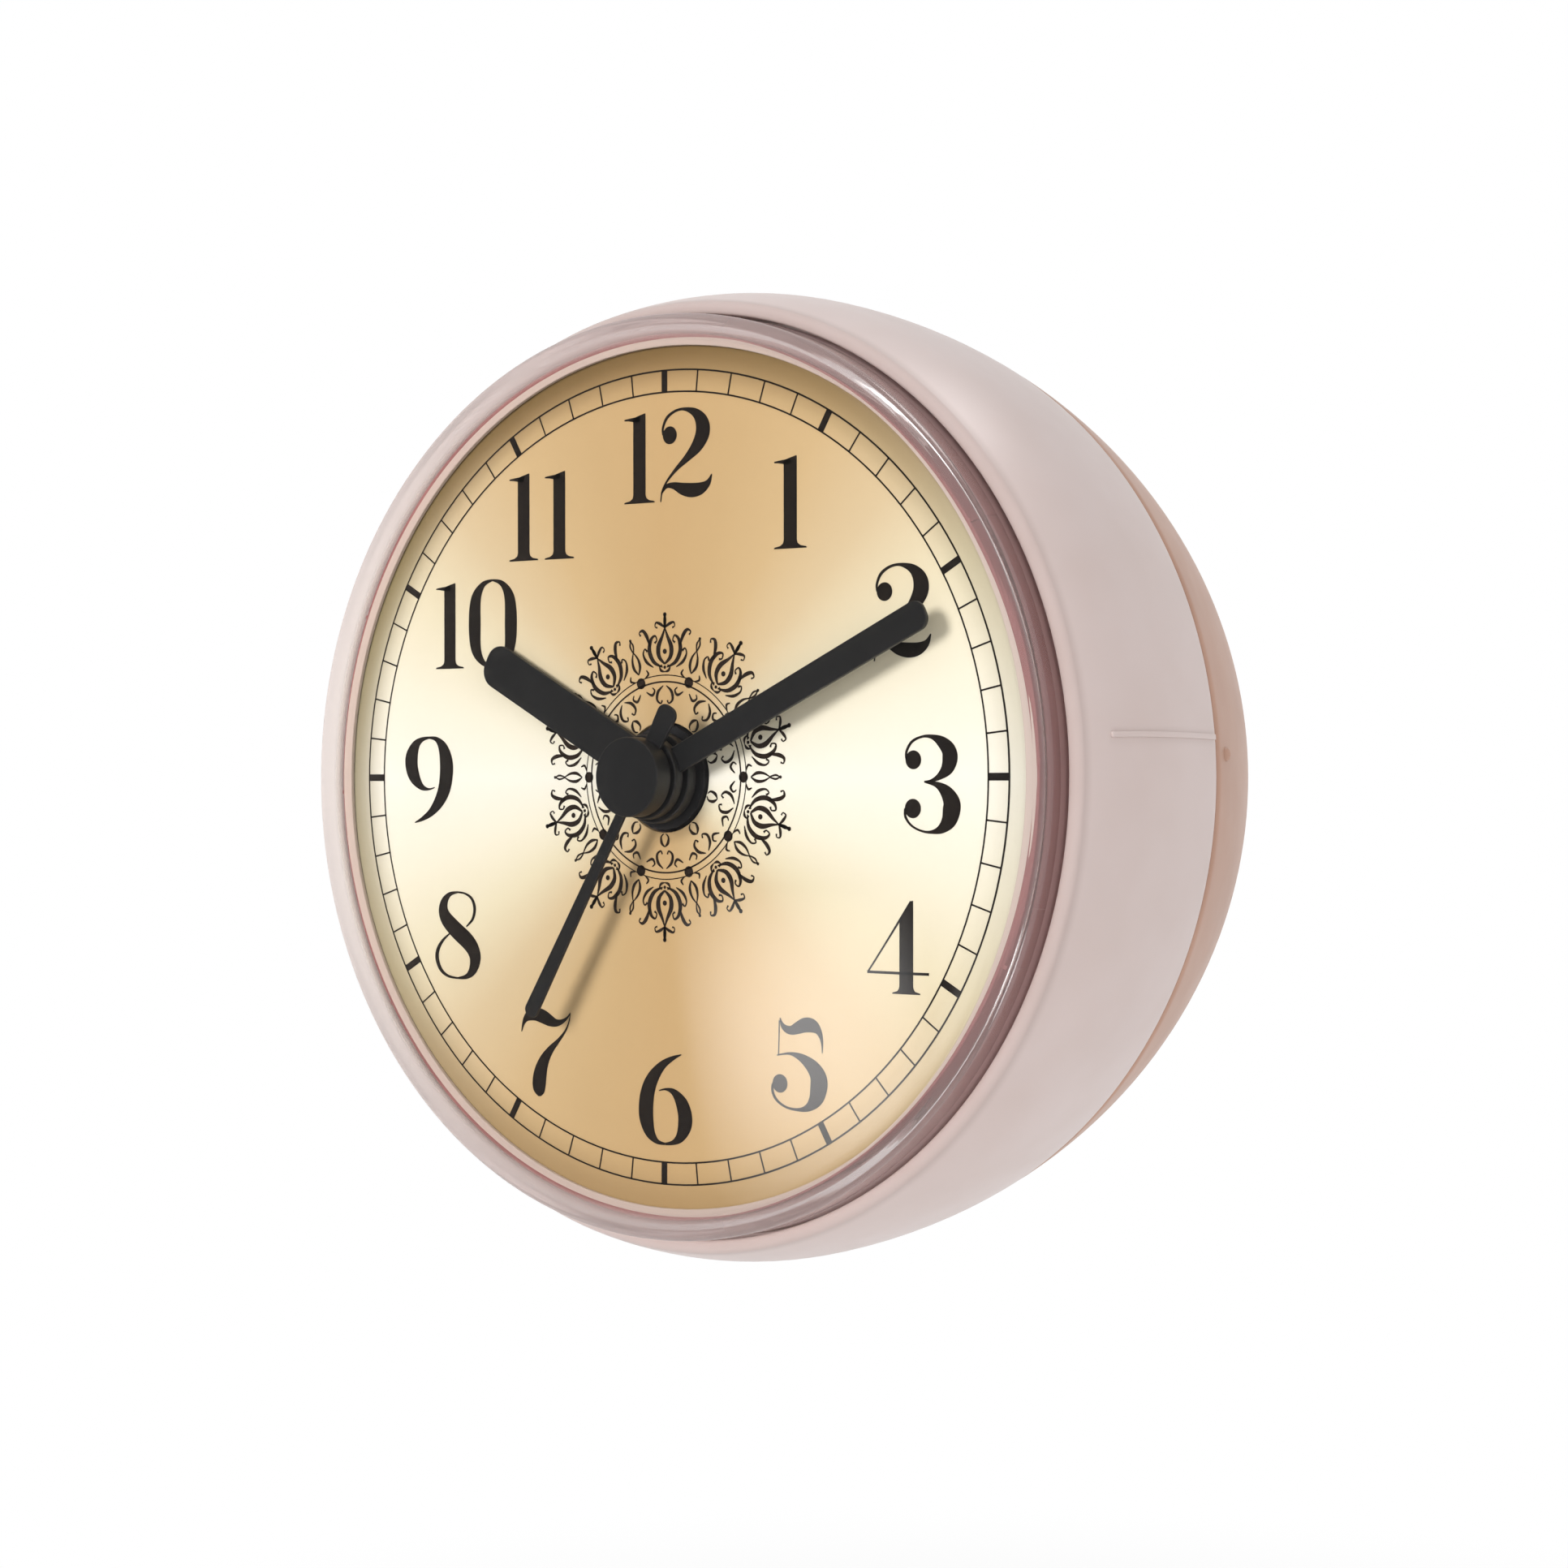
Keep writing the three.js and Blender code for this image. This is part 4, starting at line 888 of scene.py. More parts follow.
def cylinder(shape: bmesh.types.BMesh, radius: float, front: float, rear: float, x: float = 0.0,
             z: float = 0.0, edge: float = 0.0, steps: int = 96) -> None:
    """Adds a round bar along the depth scale, with rounded rims.

    Args:
        shape: The bmesh that gets it.
        radius: Its radius.
        front: Depth of its front face.
        rear: Depth of its rear face.
        x: Its middle along X.
        z: Its middle along Z.
        edge: The rounding of both rims.
        steps: Facets round it.
    """
    part = bmesh.new()
    upright = Matrix.Translation((x, (front + rear) / 2, z)) @ Matrix.Rotation(-math.pi / 2, 4, "X")
    bmesh.ops.create_cone(part, cap_ends=True, segments=steps, radius1=radius, radius2=radius,
                          depth=rear - front, matrix=upright)
    if edge:
        rims = [e for e in part.edges if any(len(f.verts) > QUAD for f in e.link_faces)]
        bmesh.ops.bevel(part, geom=rims, offset=edge, segments=EDGE_STEPS, profile=ROUND_PROFILE,
                        affect="EDGES", material=-1)
    close_up(part)
    join(shape, part)


@dataclass(frozen=True)
class Outline:
    """The barrel's outline: an ellipse of revolution about the hand axis."""

    radius: float = 37.7
    widest: float = 9.0
    front: float = 30.0
    rear: float = 44.8

    def at(self, depth: float) -> float:
        """The outline's radius at a depth."""
        length = self.front if depth < self.widest else self.rear
        return self.radius * math.sqrt(1 - ((depth - self.widest) / length) ** 2)

    def points(self, start: float, end: float, count: int, inset: float = 0.0) -> list[tuple[float, float]]:
        """Points of the outline between two depths, set in by a wall."""
        depths = [start + (end - start) * i / count for i in range(count + 1)]
        return [(self.at(depth) - inset, depth) for depth in depths]


OUTLINE = Outline()


@dataclass(frozen=True)
class RimSizes:
    """Radii of what nests in the barrel's mouth, from the barrel inwards."""

    bore: float = 35.25
    cap: float = 35.05
    cap_inner: float = 34.05
    ring_outer: float = 33.9
    ring_inner: float = 33.15
    dial: float = 33.05
    ring_lip: float = 32.55
    foot: float = 2.4
    gasket: float = 0.9
    gap: float = 0.05


RIM = RimSizes()
BAYONET_MIDDLES = (60.0, 180.0, 300.0)


@dataclass
class Barrel:
    """The pale pink body ring with its web, towers and bayonet ledges."""

    lip: float = 0.5
    lip_round: float = 0.6
    mouth_round: float = 0.25
    lip_run: float = 1.3
    seam: float = 19.4
    seam_run: float = 0.7
    seam_inset: float = 0.05
    seam_round: float = 0.45
    web_front: float = 0.45
    web_rear: float = 2.2
    shoulder: float = 5.2
    shoulder_step: float = 3.0
    fillet: float = 0.6
    wall: float = 2.2
    hub_hole: float = 4.2
    ring_seat: float = 1.75
    groove_play: float = 0.15
    gasket_play: float = 0.1
    ledge_reach: float = 1.2
    ledge_root: float = 0.3
    ledge_depths: tuple[float, float] = (15.4, 16.6)
    ledge_deg: float = 32.0
    stop_depths: tuple[float, float] = (13.6, 15.45)
    stop_turns: tuple[float, float] = (-17.5, 52.5)
    stop_deg: float = 4.0
    tower_radius: float = 2.2
    tower_rear: float = 6.55
    tower_round: float = 0.15
    tower_x: float = 27.6
    tower_z: float = 3.0
    mark_from: float = 3.0
    mark_root: float = 0.3
    mark_direction: float = 85.4
    mark_height: float = 0.18
    mark_width_deg: float = 0.6
    mark_steps: int = 20
    mark_across: int = 2
    outline_steps: int = 34
    tower_steps: int = 48
    stop_steps: int = 3

    @property
    def bore(self) -> float:
        """Radius of the barrel's inside at the seam."""
        return OUTLINE.at(self.seam) - self.wall

    def profile(self) -> list[Sequence[float]]:
        """Draws the barrel's section, from the mouth round the outside to the hub hole.

        Returns:
            Radius, depth and rounding of each corner.
        """
        step = self.bore - self.shoulder_step
        groove = RIM.cap_inner - self.groove_play
        floor = RIM.foot + RIM.gasket + self.gasket_play
        return [
            (RIM.bore, self.lip, self.mouth_round), (OUTLINE.at(self.lip), self.lip, self.lip_round),
            *OUTLINE.points(self.lip + self.lip_run, self.seam - self.seam_run, self.outline_steps),
            (OUTLINE.at(self.seam) - self.seam_inset, self.seam, self.seam_round),
            (self.bore, self.seam, SMALL), (self.bore, self.shoulder, self.fillet),
            (step, self.shoulder - self.fillet), (step, self.web_rear, SOFT),
            (self.hub_hole, self.web_rear, SLIGHT), (self.hub_hole, self.web_front),
            (RIM.dial, self.web_front), (RIM.dial, self.ring_seat), (groove, self.ring_seat),
            (groove, floor), (RIM.bore, floor),
        ]

    def ledges(self, shape: bmesh.types.BMesh) -> None:
        """Adds the ledges that the cover's lugs turn behind, and the stops at their ends.

        Args:
            shape: The barrel's bmesh.
        """
        inner, outer = self.bore - self.ledge_reach, self.bore + self.ledge_root
        for middle in BAYONET_MIDDLES:
            sector(shape, box_section(inner, outer, *self.ledge_depths), middle, self.ledge_deg)
            for turn in self.stop_turns:
                sector(shape, box_section(inner, outer, *self.stop_depths), middle + turn,
                       self.stop_deg, self.stop_steps)

    def build(self) -> bpy.types.Object:
        """Builds the barrel with its ledges, its towers and the raised index line.

        Returns:
            The barrel.
        """
        shape = turned(self.profile())
        self.ledges(shape)
        for side in (-1, 1):
            cylinder(shape, self.tower_radius, self.web_rear - ROOT, self.tower_rear, side * self.tower_x,
                     self.tower_z, self.tower_round, self.tower_steps)
        start, end = self.lip + self.mark_from, self.seam - self.seam_run
        raised = OUTLINE.points(start, end, self.mark_steps, -self.mark_height)
        sunk = OUTLINE.points(end, start, self.mark_steps, self.mark_root)
        sector(shape, [*raised, *sunk], self.mark_direction, self.mark_width_deg, self.mark_across)
        return finished("barrel", shape, SHELL_ABS, Body.CASE, ["body_shell"])


@dataclass
class RearCover:
    """The tan dome behind the seam, with its spigot, lugs, dish and the socket for the cup."""

    front: float = 19.6
    back: float = 41.5
    dish: float = 24.0
    dish_floor: float = 40.2
    inner_back: float = 38.4
    socket_front: float = 35.9
    socket_wall: float = 1.4
    head_room: float = 5.9
    stem_room: float = 4.2
    spigot_front: float = 13.6
    spigot_wall: float = 1.8
    spigot_play: float = 1.5
    wall: float = 2.1
    back_round: float = 0.7
    back_run: float = 0.9
    dish_slope: float = 0.6
    dish_edge: float = 0.35
    shoulder: float = 2.5
    shoulder_round: float = 1.0
    hollow_from: float = 5.0
    hollow_corner: float = 4.7
    outline_steps: int = 38
    hollow_steps: int = 12
    seam_run: float = 0.7
    seam_inset: float = 0.05
    seam_round: float = 0.45
    lug_depths: tuple[float, float] = (13.6, 15.1)
    lug_play: float = 0.3
    lug_deg: float = 30.0
    pip_radius: float = 0.55
    pip_segments: tuple[int, int] = (24, 16)
    pip_rise: float = 0.6
    pip_depth: float = 1.9
    pip_lean: float = -2.7

    def spigot(self, bore: float) -> float:
        """The spigot's outer radius in a barrel's bore."""
        return bore - self.spigot_play

    def profile(self, spigot: float) -> list[Sequence[float]]:
        """Draws the cover's section, from the cup's socket round the outside to the spigot.

        Args:
            spigot: The spigot's outer radius.

        Returns:
            Radius, depth and rounding of each corner.
        """
        inside = spigot - self.spigot_wall
        socket = self.head_room + self.socket_wall
        crown = self.socket_front - self.socket_wall
        floor = self.inner_back - ROOT
        return [
            (0, self.socket_front), (self.head_room, self.socket_front), (self.head_room, self.inner_back),
            (self.stem_room, self.inner_back, SLIGHT), (self.stem_room, self.dish_floor, EASY),
            (self.dish - self.dish_slope, self.dish_floor, BROAD), (self.dish, self.back, self.dish_edge),
            (OUTLINE.at(self.back) - self.back_round, self.back, BROAD),
            *OUTLINE.points(self.back - self.back_run, self.front + self.seam_run, self.outline_steps),
            (OUTLINE.at(self.front) - self.seam_inset, self.front, self.seam_round),
            (spigot, self.front, SMALL), (spigot, self.spigot_front, EASY),
            (inside, self.spigot_front, EASY), (inside, self.front + self.shoulder, self.shoulder_round),
            *OUTLINE.points(self.front + self.hollow_from, self.inner_back - self.wall, self.hollow_steps,
                            self.wall),
            (OUTLINE.at(self.inner_back) - self.hollow_corner, floor, WIDE), (socket, floor, SOFT),
            (socket, crown, EASY), (0, crown),
        ]

    def build(self, bore: float) -> bpy.types.Object:
        """Builds the cover with its lugs and the index pip.

        Args:
            bore: The radius of the barrel's inside, which the cover fits.

        Returns:
            The cover.
        """
        spigot = self.spigot(bore)
        shape = turned(self.profile(spigot))
        for middle in BAYONET_MIDDLES:
            sector(shape, box_section(spigot - self.lug_play, bore - self.lug_play, *self.lug_depths),
                   middle, self.lug_deg)
        depth = self.front + self.pip_depth
        pip = bmesh.new()
        bmesh.ops.create_uvsphere(pip, u_segments=self.pip_segments[0], v_segments=self.pip_segments[1],
                                  radius=self.pip_radius)
        bmesh.ops.scale(pip, vec=(self.pip_rise, 1.0, 1.0), verts=pip.verts)
        bmesh.ops.translate(pip, vec=(OUTLINE.at(depth), depth, 0), verts=pip.verts)
        bmesh.ops.rotate(pip, verts=pip.verts, cent=(0, 0, 0), matrix=clock_turn(self.pip_lean).to_3x3())
        join(shape, pip)
        return finished("domed_cover", shape, COVER_ABS, Body.COVER, ["rear_cover"])


@dataclass
class FrontCap:
    """The clear cap: a shallow dome and a thick rim in one moulding."""

    crest: float = 2.6
    crest_width: float = 1.1
    crest_rise: float = 0.3
    crest_flat: float = 0.45
    shoulder: float = 0.6
    inner_drop: float = 1.2
    inner_run: float = 0.6
    inner_rise: float = 0.7
    foot_round: float = 0.15
    height: float = 6.5
    thickness: float = 1.2
    dome_inset: float = 2.35
    dome_rise: float = 0.6
    inner_inset: float = 1.6
    steps: int = 22
    smooth_deg: float = 40.0

    def dome(self, rim: float, low: float, high: float) -> list[tuple[float, float]]:
        """Draws a spherical dome from its rim to the axis.

        Args:
            rim: The radius of its rim.
            low: How far the rim stands in front of the dial.
            high: How far the top stands in front of the dial.

        Returns:
            Radius and depth of each point.
        """
        rise = high - low
        sphere = (rim ** 2 + rise ** 2) / (2 * rise)
        radii = [rim * (1 - i / self.steps) for i in range(self.steps + 1)]
        return [(radius, sphere - high - math.sqrt(sphere ** 2 - radius ** 2)) for radius in radii]

    def build(self) -> bpy.types.Object:
        """Builds the cap.

        Returns:
            The cap.
        """
        outer = self.dome(RIM.cap - self.dome_inset, self.crest + self.dome_rise, self.height)
        inner = self.dome(RIM.cap_inner - self.inner_inset, self.crest - self.dome_rise,
                          self.height - self.thickness)
        shape = turned([
            *reversed(outer), (RIM.cap - self.crest_width, -(self.crest + self.crest_rise)),
            (RIM.cap - self.crest_flat, -self.crest, SMALL), (RIM.cap, self.shoulder - self.crest, SOFT),
            (RIM.cap, RIM.foot, self.foot_round), (RIM.cap_inner, RIM.foot, SLIGHT),
            (RIM.cap_inner, self.inner_drop - self.crest, SOFT),
            (RIM.cap_inner - self.inner_run, self.inner_rise - self.crest, SMALL), *inner,
        ])
        return finished("clear_cap", shape, CAP_STYRENE, Body.CASE, ["front_lens"],
                        self.smooth_deg)


@dataclass
class Seals:
    """The two silicone rings: one under the cap's foot, one between barrel and cover."""

    sides: int = 20
    play: float = 0.05
    squeeze: float = 0.97
    cover_inset: float = 0.675
    cover_depth: float = 17.625
    cover_section: float = 0.62

    def ring(self, name: str, radius: float, depth: float, section: float, body: Body,
             node: str) -> bpy.types.Object:
        """Builds one round ring of even section.

        Args:
            name: The piece's name.
            radius: From the hand axis to the middle of its section.
            depth: The depth of that middle.
            section: The radius of its section.
            body: What it moves with.
            node: The node of the model that it stands for.

        Returns:
            The ring.
        """
        shape = bmesh.new()
        made = bmesh.ops.create_circle(shape, segments=self.sides, radius=section)
        bmesh.ops.translate(shape, verts=made["verts"], vec=(radius, depth, 0))
        spin(shape, shape.verts[:] + shape.edges[:])
        close_up(shape)
        return finished(name, shape, SEAL_SILICONE, body, [node])

    def build(self, spigot: float) -> list[bpy.types.Object]:
        """Builds both rings.

        Args:
            spigot: The outer radius of the cover's spigot.

        Returns:
            The cap's ring and the cover's ring.
        """
        section = RIM.gasket / 2
        return [
            self.ring("cap_seal", (RIM.cap + RIM.cap_inner) / 2, RIM.foot + self.play + section,
                      section * self.squeeze, Body.CASE, "lens_gasket"),
            self.ring("cover_seal", spigot + self.cover_inset, self.cover_depth, self.cover_section,
                      Body.COVER, "rear_gasket"),
        ]


@dataclass
class DialRing:
    """The plum ring that frames the dial, with the small clips that hold the cap."""

    rise: float = 0.35
    foot: float = 1.7
    draft: float = 0.5
    clip_deg: float = 0.5
    clip_height: float = 0.1
    clip_root: float = 0.2
    clip_tip: float = 0.07
    clip_steps: int = 2
    clip_directions: tuple[float, ...] = (57.0, 88.0, 106.0, 113.5, 178.0, 237.0, 268.0, 293.0, 358.0)

    def build(self) -> bpy.types.Object:
        """Builds the ring with its clips.

        Returns:
            The ring.
        """
        front = RIM.ring_outer - self.draft
        shape = turned([
            (RIM.ring_lip, -self.rise, CRISP), (front, -self.rise, SLIGHT),
            (RIM.ring_outer, self.foot, CRISP), (RIM.ring_inner, self.foot), (RIM.ring_inner, -RIM.gap),
            (RIM.ring_lip, -RIM.gap),
        ])
        for direction in self.clip_directions:
            sector(shape, [
                (front - self.clip_root, ROOT - self.rise), (front + self.clip_height, ROOT - self.rise),
                (RIM.ring_outer + self.clip_tip, self.foot - ROOT),
                (RIM.ring_outer - self.clip_root, self.foot - ROOT),
            ], direction, self.clip_deg, self.clip_steps)
        return finished("plum_ring", shape, RING_ABS, Body.CASE, ["dial_ring"])


# The dial and its print

Nib = tuple[float, float, float]


@dataclass
class Pen:
    """Draws flat strokes of changing width, each a nib edge extruded along a smooth path."""

    shape: bmesh.types.BMesh
    depth: float
    steps: int = 7
    finest: float = 1e-3
    dot_steps: int = 28

    def smooth(self, nibs: Sequence[Nib]) -> list[Nib]:
        """Runs a smooth curve through the nibs.

        Args:
            nibs: Across, up and width of each point.

        Returns:
            The same for close points along the curve.
        """
        ends = [nibs[0], *nibs, nibs[-1]]
        path = []
        for before, start, end, after in zip(ends, ends[1:], ends[2:], ends[3:]):
            for i in range(self.steps):
                t = i / self.steps
                path.append(tuple(
                    0.5 * (2 * b + (c - a) * t + (2 * a - 5 * b + 4 * c - d) * t * t
                           + (3 * b - a - 3 * c + d) * t ** 3)
                    for a, b, c, d in zip(before, start, end, after)))
        return [*path, tuple(nibs[-1])]

    def stroke(self, nibs: Sequence[Nib], matrix: Matrix, level: bool = False) -> None:
        """Draws one stroke.

        Args:
            nibs: Across, up and width of each point that the stroke passes through.
            matrix: Where the stroke lies on the dial, in millimetres.
            level: Whether the nib stays level and runs straight from point to point.
        """
        path = list(nibs) if level else self.smooth(nibs)
        edge = None
        for i, (across, up, width) in enumerate(path):
            ahead, behind = path[min(i + 1, len(path) - 1)], path[max(i - 1, 0)]
            along = Vector((0, 1)) if level else Vector((ahead[0] - behind[0], ahead[1] - behind[1]))
            side = Vector((-along.y, along.x)).normalized() * max(width, self.finest) / 2
            ends = [matrix @ Vector((across + s * side.x, 0.0, up + s * side.y)) for s in (-1, 1)]
            if edge is None:
                edge = self.shape.edges.new([self.shape.verts.new((p.x, self.depth, p.z)) for p in ends])
                continue
            old = edge.verts[:]
            grown = bmesh.ops.extrude_edge_only(self.shape, edges=[edge])["geom"]
            edge = next(e for e in grown
                        if isinstance(e, bmesh.types.BMEdge) and not set(e.verts) & set(old))
            first = next(v for v in edge.verts if any(e.other_vert(v) is old[0] for e in v.link_edges))
            for corner, p in zip((first, edge.other_vert(first)), ends):
                corner.co = (p.x, self.depth, p.z)

    def dot(self, across: float, up: float, radius: float, matrix: Matrix) -> None:
        """Draws a filled dot.

        Args:
            across: Its middle along the stroke's first axis.
            up: Its middle along the second.
            radius: Its radius before the matrix scales it.
            matrix: Where it lies on the dial.
        """
        spot = matrix @ Vector((across, 0.0, up))
        lying = Matrix.Translation((spot.x, self.depth, spot.z)) @ Matrix.Rotation(math.pi / 2, 4, "X")
        bmesh.ops.create_circle(self.shape, cap_ends=True, segments=self.dot_steps,
                                radius=radius * matrix.median_scale, matrix=lying)

    def band(self, radius: float, width: float) -> None:
        """Draws a thin circle about the hand axis.

        Args:
            radius: The radius of its middle.
            width: How broad its line is.
        """
        ends = [self.shape.verts.new((radius + s * width / 2, self.depth, 0)) for s in (-1, 1)]
        edge = self.shape.edges.new(ends)
        spin(self.shape, [edge, *ends])


@dataclass(frozen=True)
class Glyph:
    """A numeral with strong contrast: its strokes, its ball ends and its upright stems, one unit high."""

    width: float
    strokes: tuple[tuple[Nib, ...], ...]
    balls: tuple[Nib, ...] = ()
    stems: tuple[tuple[Nib, ...], ...] = ()


GLYPHS = {
    "0": Glyph(0.735, (
        ((0.367, 0.99, 0.022), (0.22, 0.94, 0.07), (0.115, 0.78, 0.15), (0.095, 0.5, 0.18),
         (0.115, 0.22, 0.15), (0.22, 0.06, 0.07), (0.367, 0.01, 0.022)),
        ((0.367, 0.99, 0.022), (0.515, 0.94, 0.07), (0.62, 0.78, 0.15), (0.64, 0.5, 0.18),
         (0.62, 0.22, 0.15), (0.515, 0.06, 0.07), (0.367, 0.01, 0.022)))),
    "1": Glyph(0.45, (
        ((0.03, 0.915, 0.014), (0.09, 0.917, 0.028), (0.17, 0.915, 0.05), (0.25, 0.915, 0.06)),),
        stems=(((0.24, 0.0, 0.43), (0.24, 0.016, 0.42), (0.24, 0.03, 0.27), (0.24, 0.055, 0.195),
                (0.24, 0.09, 0.172), (0.24, 0.915, 0.172), (0.26, 0.945, 0.132), (0.318, 0.975, 0.016)),)),
    "2": Glyph(0.73, (
        ((0.05, 0.72, 0.03), (0.045, 0.80, 0.03), (0.10, 0.905, 0.035), (0.21, 0.97, 0.03),
         (0.34, 0.985, 0.035), (0.49, 0.935, 0.10), (0.58, 0.83, 0.175), (0.59, 0.71, 0.19),
         (0.51, 0.575, 0.15), (0.375, 0.455, 0.085), (0.23, 0.345, 0.045), (0.105, 0.225, 0.026),
         (0.035, 0.12, 0.02), (0.012, 0.0, 0.016)),
        ((0.02, 0.09, 0.02), (0.095, 0.165, 0.045), (0.20, 0.165, 0.08), (0.32, 0.125, 0.135),
         (0.45, 0.105, 0.155), (0.57, 0.12, 0.13), (0.665, 0.175, 0.07), (0.715, 0.265, 0.012))),
        balls=((0.14, 0.715, 0.097),)),
    "3": Glyph(0.71, (
        ((0.055, 0.74, 0.03), (0.05, 0.83, 0.03), (0.12, 0.935, 0.03), (0.25, 0.985, 0.026),
         (0.37, 0.98, 0.05), (0.48, 0.93, 0.12), (0.565, 0.85, 0.17), (0.585, 0.76, 0.185),
         (0.55, 0.66, 0.15), (0.46, 0.58, 0.075), (0.36, 0.535, 0.032), (0.27, 0.525, 0.016)),
        ((0.27, 0.522, 0.016), (0.42, 0.495, 0.06), (0.53, 0.425, 0.14), (0.60, 0.325, 0.20),
         (0.605, 0.24, 0.215), (0.57, 0.13, 0.18), (0.48, 0.045, 0.10), (0.37, 0.012, 0.04),
         (0.25, 0.018, 0.024), (0.12, 0.07, 0.024), (0.04, 0.16, 0.03), (0.035, 0.25, 0.03))),
        balls=((0.136, 0.748, 0.097), (0.13, 0.25, 0.1))),
    "4": Glyph(0.77, (
        ((0.545, 0.955, 0.022), (0.40, 0.75, 0.024), (0.20, 0.475, 0.020), (0.012, 0.222, 0.020)),
        ((0.0, 0.216, 0.028), (0.40, 0.214, 0.028), (0.77, 0.214, 0.028))),
        stems=(((0.488, 0.0, 0.35), (0.488, 0.014, 0.34), (0.488, 0.03, 0.22), (0.488, 0.055, 0.185),
                (0.488, 0.08, 0.171), (0.488, 0.75, 0.171), (0.564, 0.96, 0.018)),)),
    "5": Glyph(0.745, (
        ((0.125, 0.965, 0.012), (0.15, 0.90, 0.045), (0.20, 0.855, 0.075), (0.275, 0.84, 0.095),
         (0.36, 0.87, 0.13), (0.46, 0.905, 0.155), (0.56, 0.895, 0.14), (0.635, 0.835, 0.075),
         (0.672, 0.735, 0.032), (0.675, 0.62, 0.010)),
        ((0.115, 0.94, 0.016), (0.112, 0.76, 0.014), (0.105, 0.57, 0.014)),
        ((0.084, 0.57, 0.014), (0.25, 0.595, 0.03), (0.40, 0.56, 0.085), (0.54, 0.475, 0.155),
         (0.622, 0.37, 0.205), (0.632, 0.27, 0.22), (0.595, 0.14, 0.18), (0.50, 0.045, 0.09),
         (0.38, 0.012, 0.038), (0.22, 0.025, 0.025), (0.09, 0.09, 0.03), (0.03, 0.18, 0.034),
         (0.03, 0.27, 0.03))),
        balls=((0.126, 0.274, 0.098),)),
    "6": Glyph(0.75, (
        ((0.60, 0.99, 0.010), (0.48, 0.945, 0.05), (0.34, 0.865, 0.095), (0.22, 0.74, 0.15),
         (0.145, 0.60, 0.185), (0.112, 0.44, 0.20), (0.115, 0.28, 0.195), (0.165, 0.13, 0.14),
         (0.26, 0.035, 0.06), (0.375, 0.012, 0.026)),
        ((0.29, 0.585, 0.012), (0.39, 0.605, 0.028), (0.50, 0.575, 0.08), (0.60, 0.47, 0.16),
         (0.65, 0.34, 0.19), (0.645, 0.22, 0.185), (0.585, 0.10, 0.12), (0.49, 0.035, 0.055),
         (0.375, 0.012, 0.026)))),
    "7": Glyph(0.73, (
        ((0.01, 0.71, 0.012), (0.03, 0.785, 0.032), (0.065, 0.85, 0.07), (0.125, 0.895, 0.12),
         (0.22, 0.915, 0.15), (0.33, 0.89, 0.155), (0.43, 0.85, 0.13), (0.52, 0.83, 0.085),
         (0.61, 0.85, 0.05), (0.68, 0.895, 0.025), (0.725, 0.95, 0.010)),
        ((0.722, 0.94, 0.014), (0.705, 0.85, 0.016), (0.655, 0.75, 0.025), (0.557, 0.64, 0.045),
         (0.435, 0.525, 0.09), (0.345, 0.405, 0.14), (0.29, 0.27, 0.185), (0.27, 0.14, 0.195),
         (0.276, 0.05, 0.15), (0.278, 0.0, 0.04)))),
    "8": Glyph(0.71, (
        ((0.36, 0.99, 0.022), (0.24, 0.965, 0.05), (0.16, 0.89, 0.10), (0.135, 0.79, 0.14),
         (0.17, 0.70, 0.17), (0.25, 0.62, 0.19), (0.37, 0.53, 0.20), (0.50, 0.44, 0.20),
         (0.59, 0.345, 0.185), (0.625, 0.24, 0.165), (0.59, 0.115, 0.12), (0.50, 0.035, 0.06),
         (0.36, 0.01, 0.022)),
        ((0.36, 0.99, 0.022), (0.47, 0.975, 0.024), (0.57, 0.92, 0.036), (0.615, 0.81, 0.042),
         (0.585, 0.69, 0.035), (0.49, 0.60, 0.018)),
        ((0.235, 0.515, 0.018), (0.13, 0.435, 0.035), (0.055, 0.33, 0.05), (0.042, 0.22, 0.055),
         (0.10, 0.10, 0.046), (0.21, 0.03, 0.032), (0.36, 0.01, 0.022)))),
}


# How far each numeral stands to the right and up from its hour direction, so that their ring looks even
NUDGES = {
    1: (-0.45, -0.8), 2: (0.75, -0.36), 3: (-0.05, -0.52), 4: (0.35, 0.1), 5: (0.45, 0.1), 6: (0.05, 0.0),
    7: (0.3, -0.3), 8: (-0.05, -0.38), 9: (0.15, -0.2), 10: (1.85, 0.0), 11: (-0.25, -0.63),
    12: (0.25, 0.0),
}


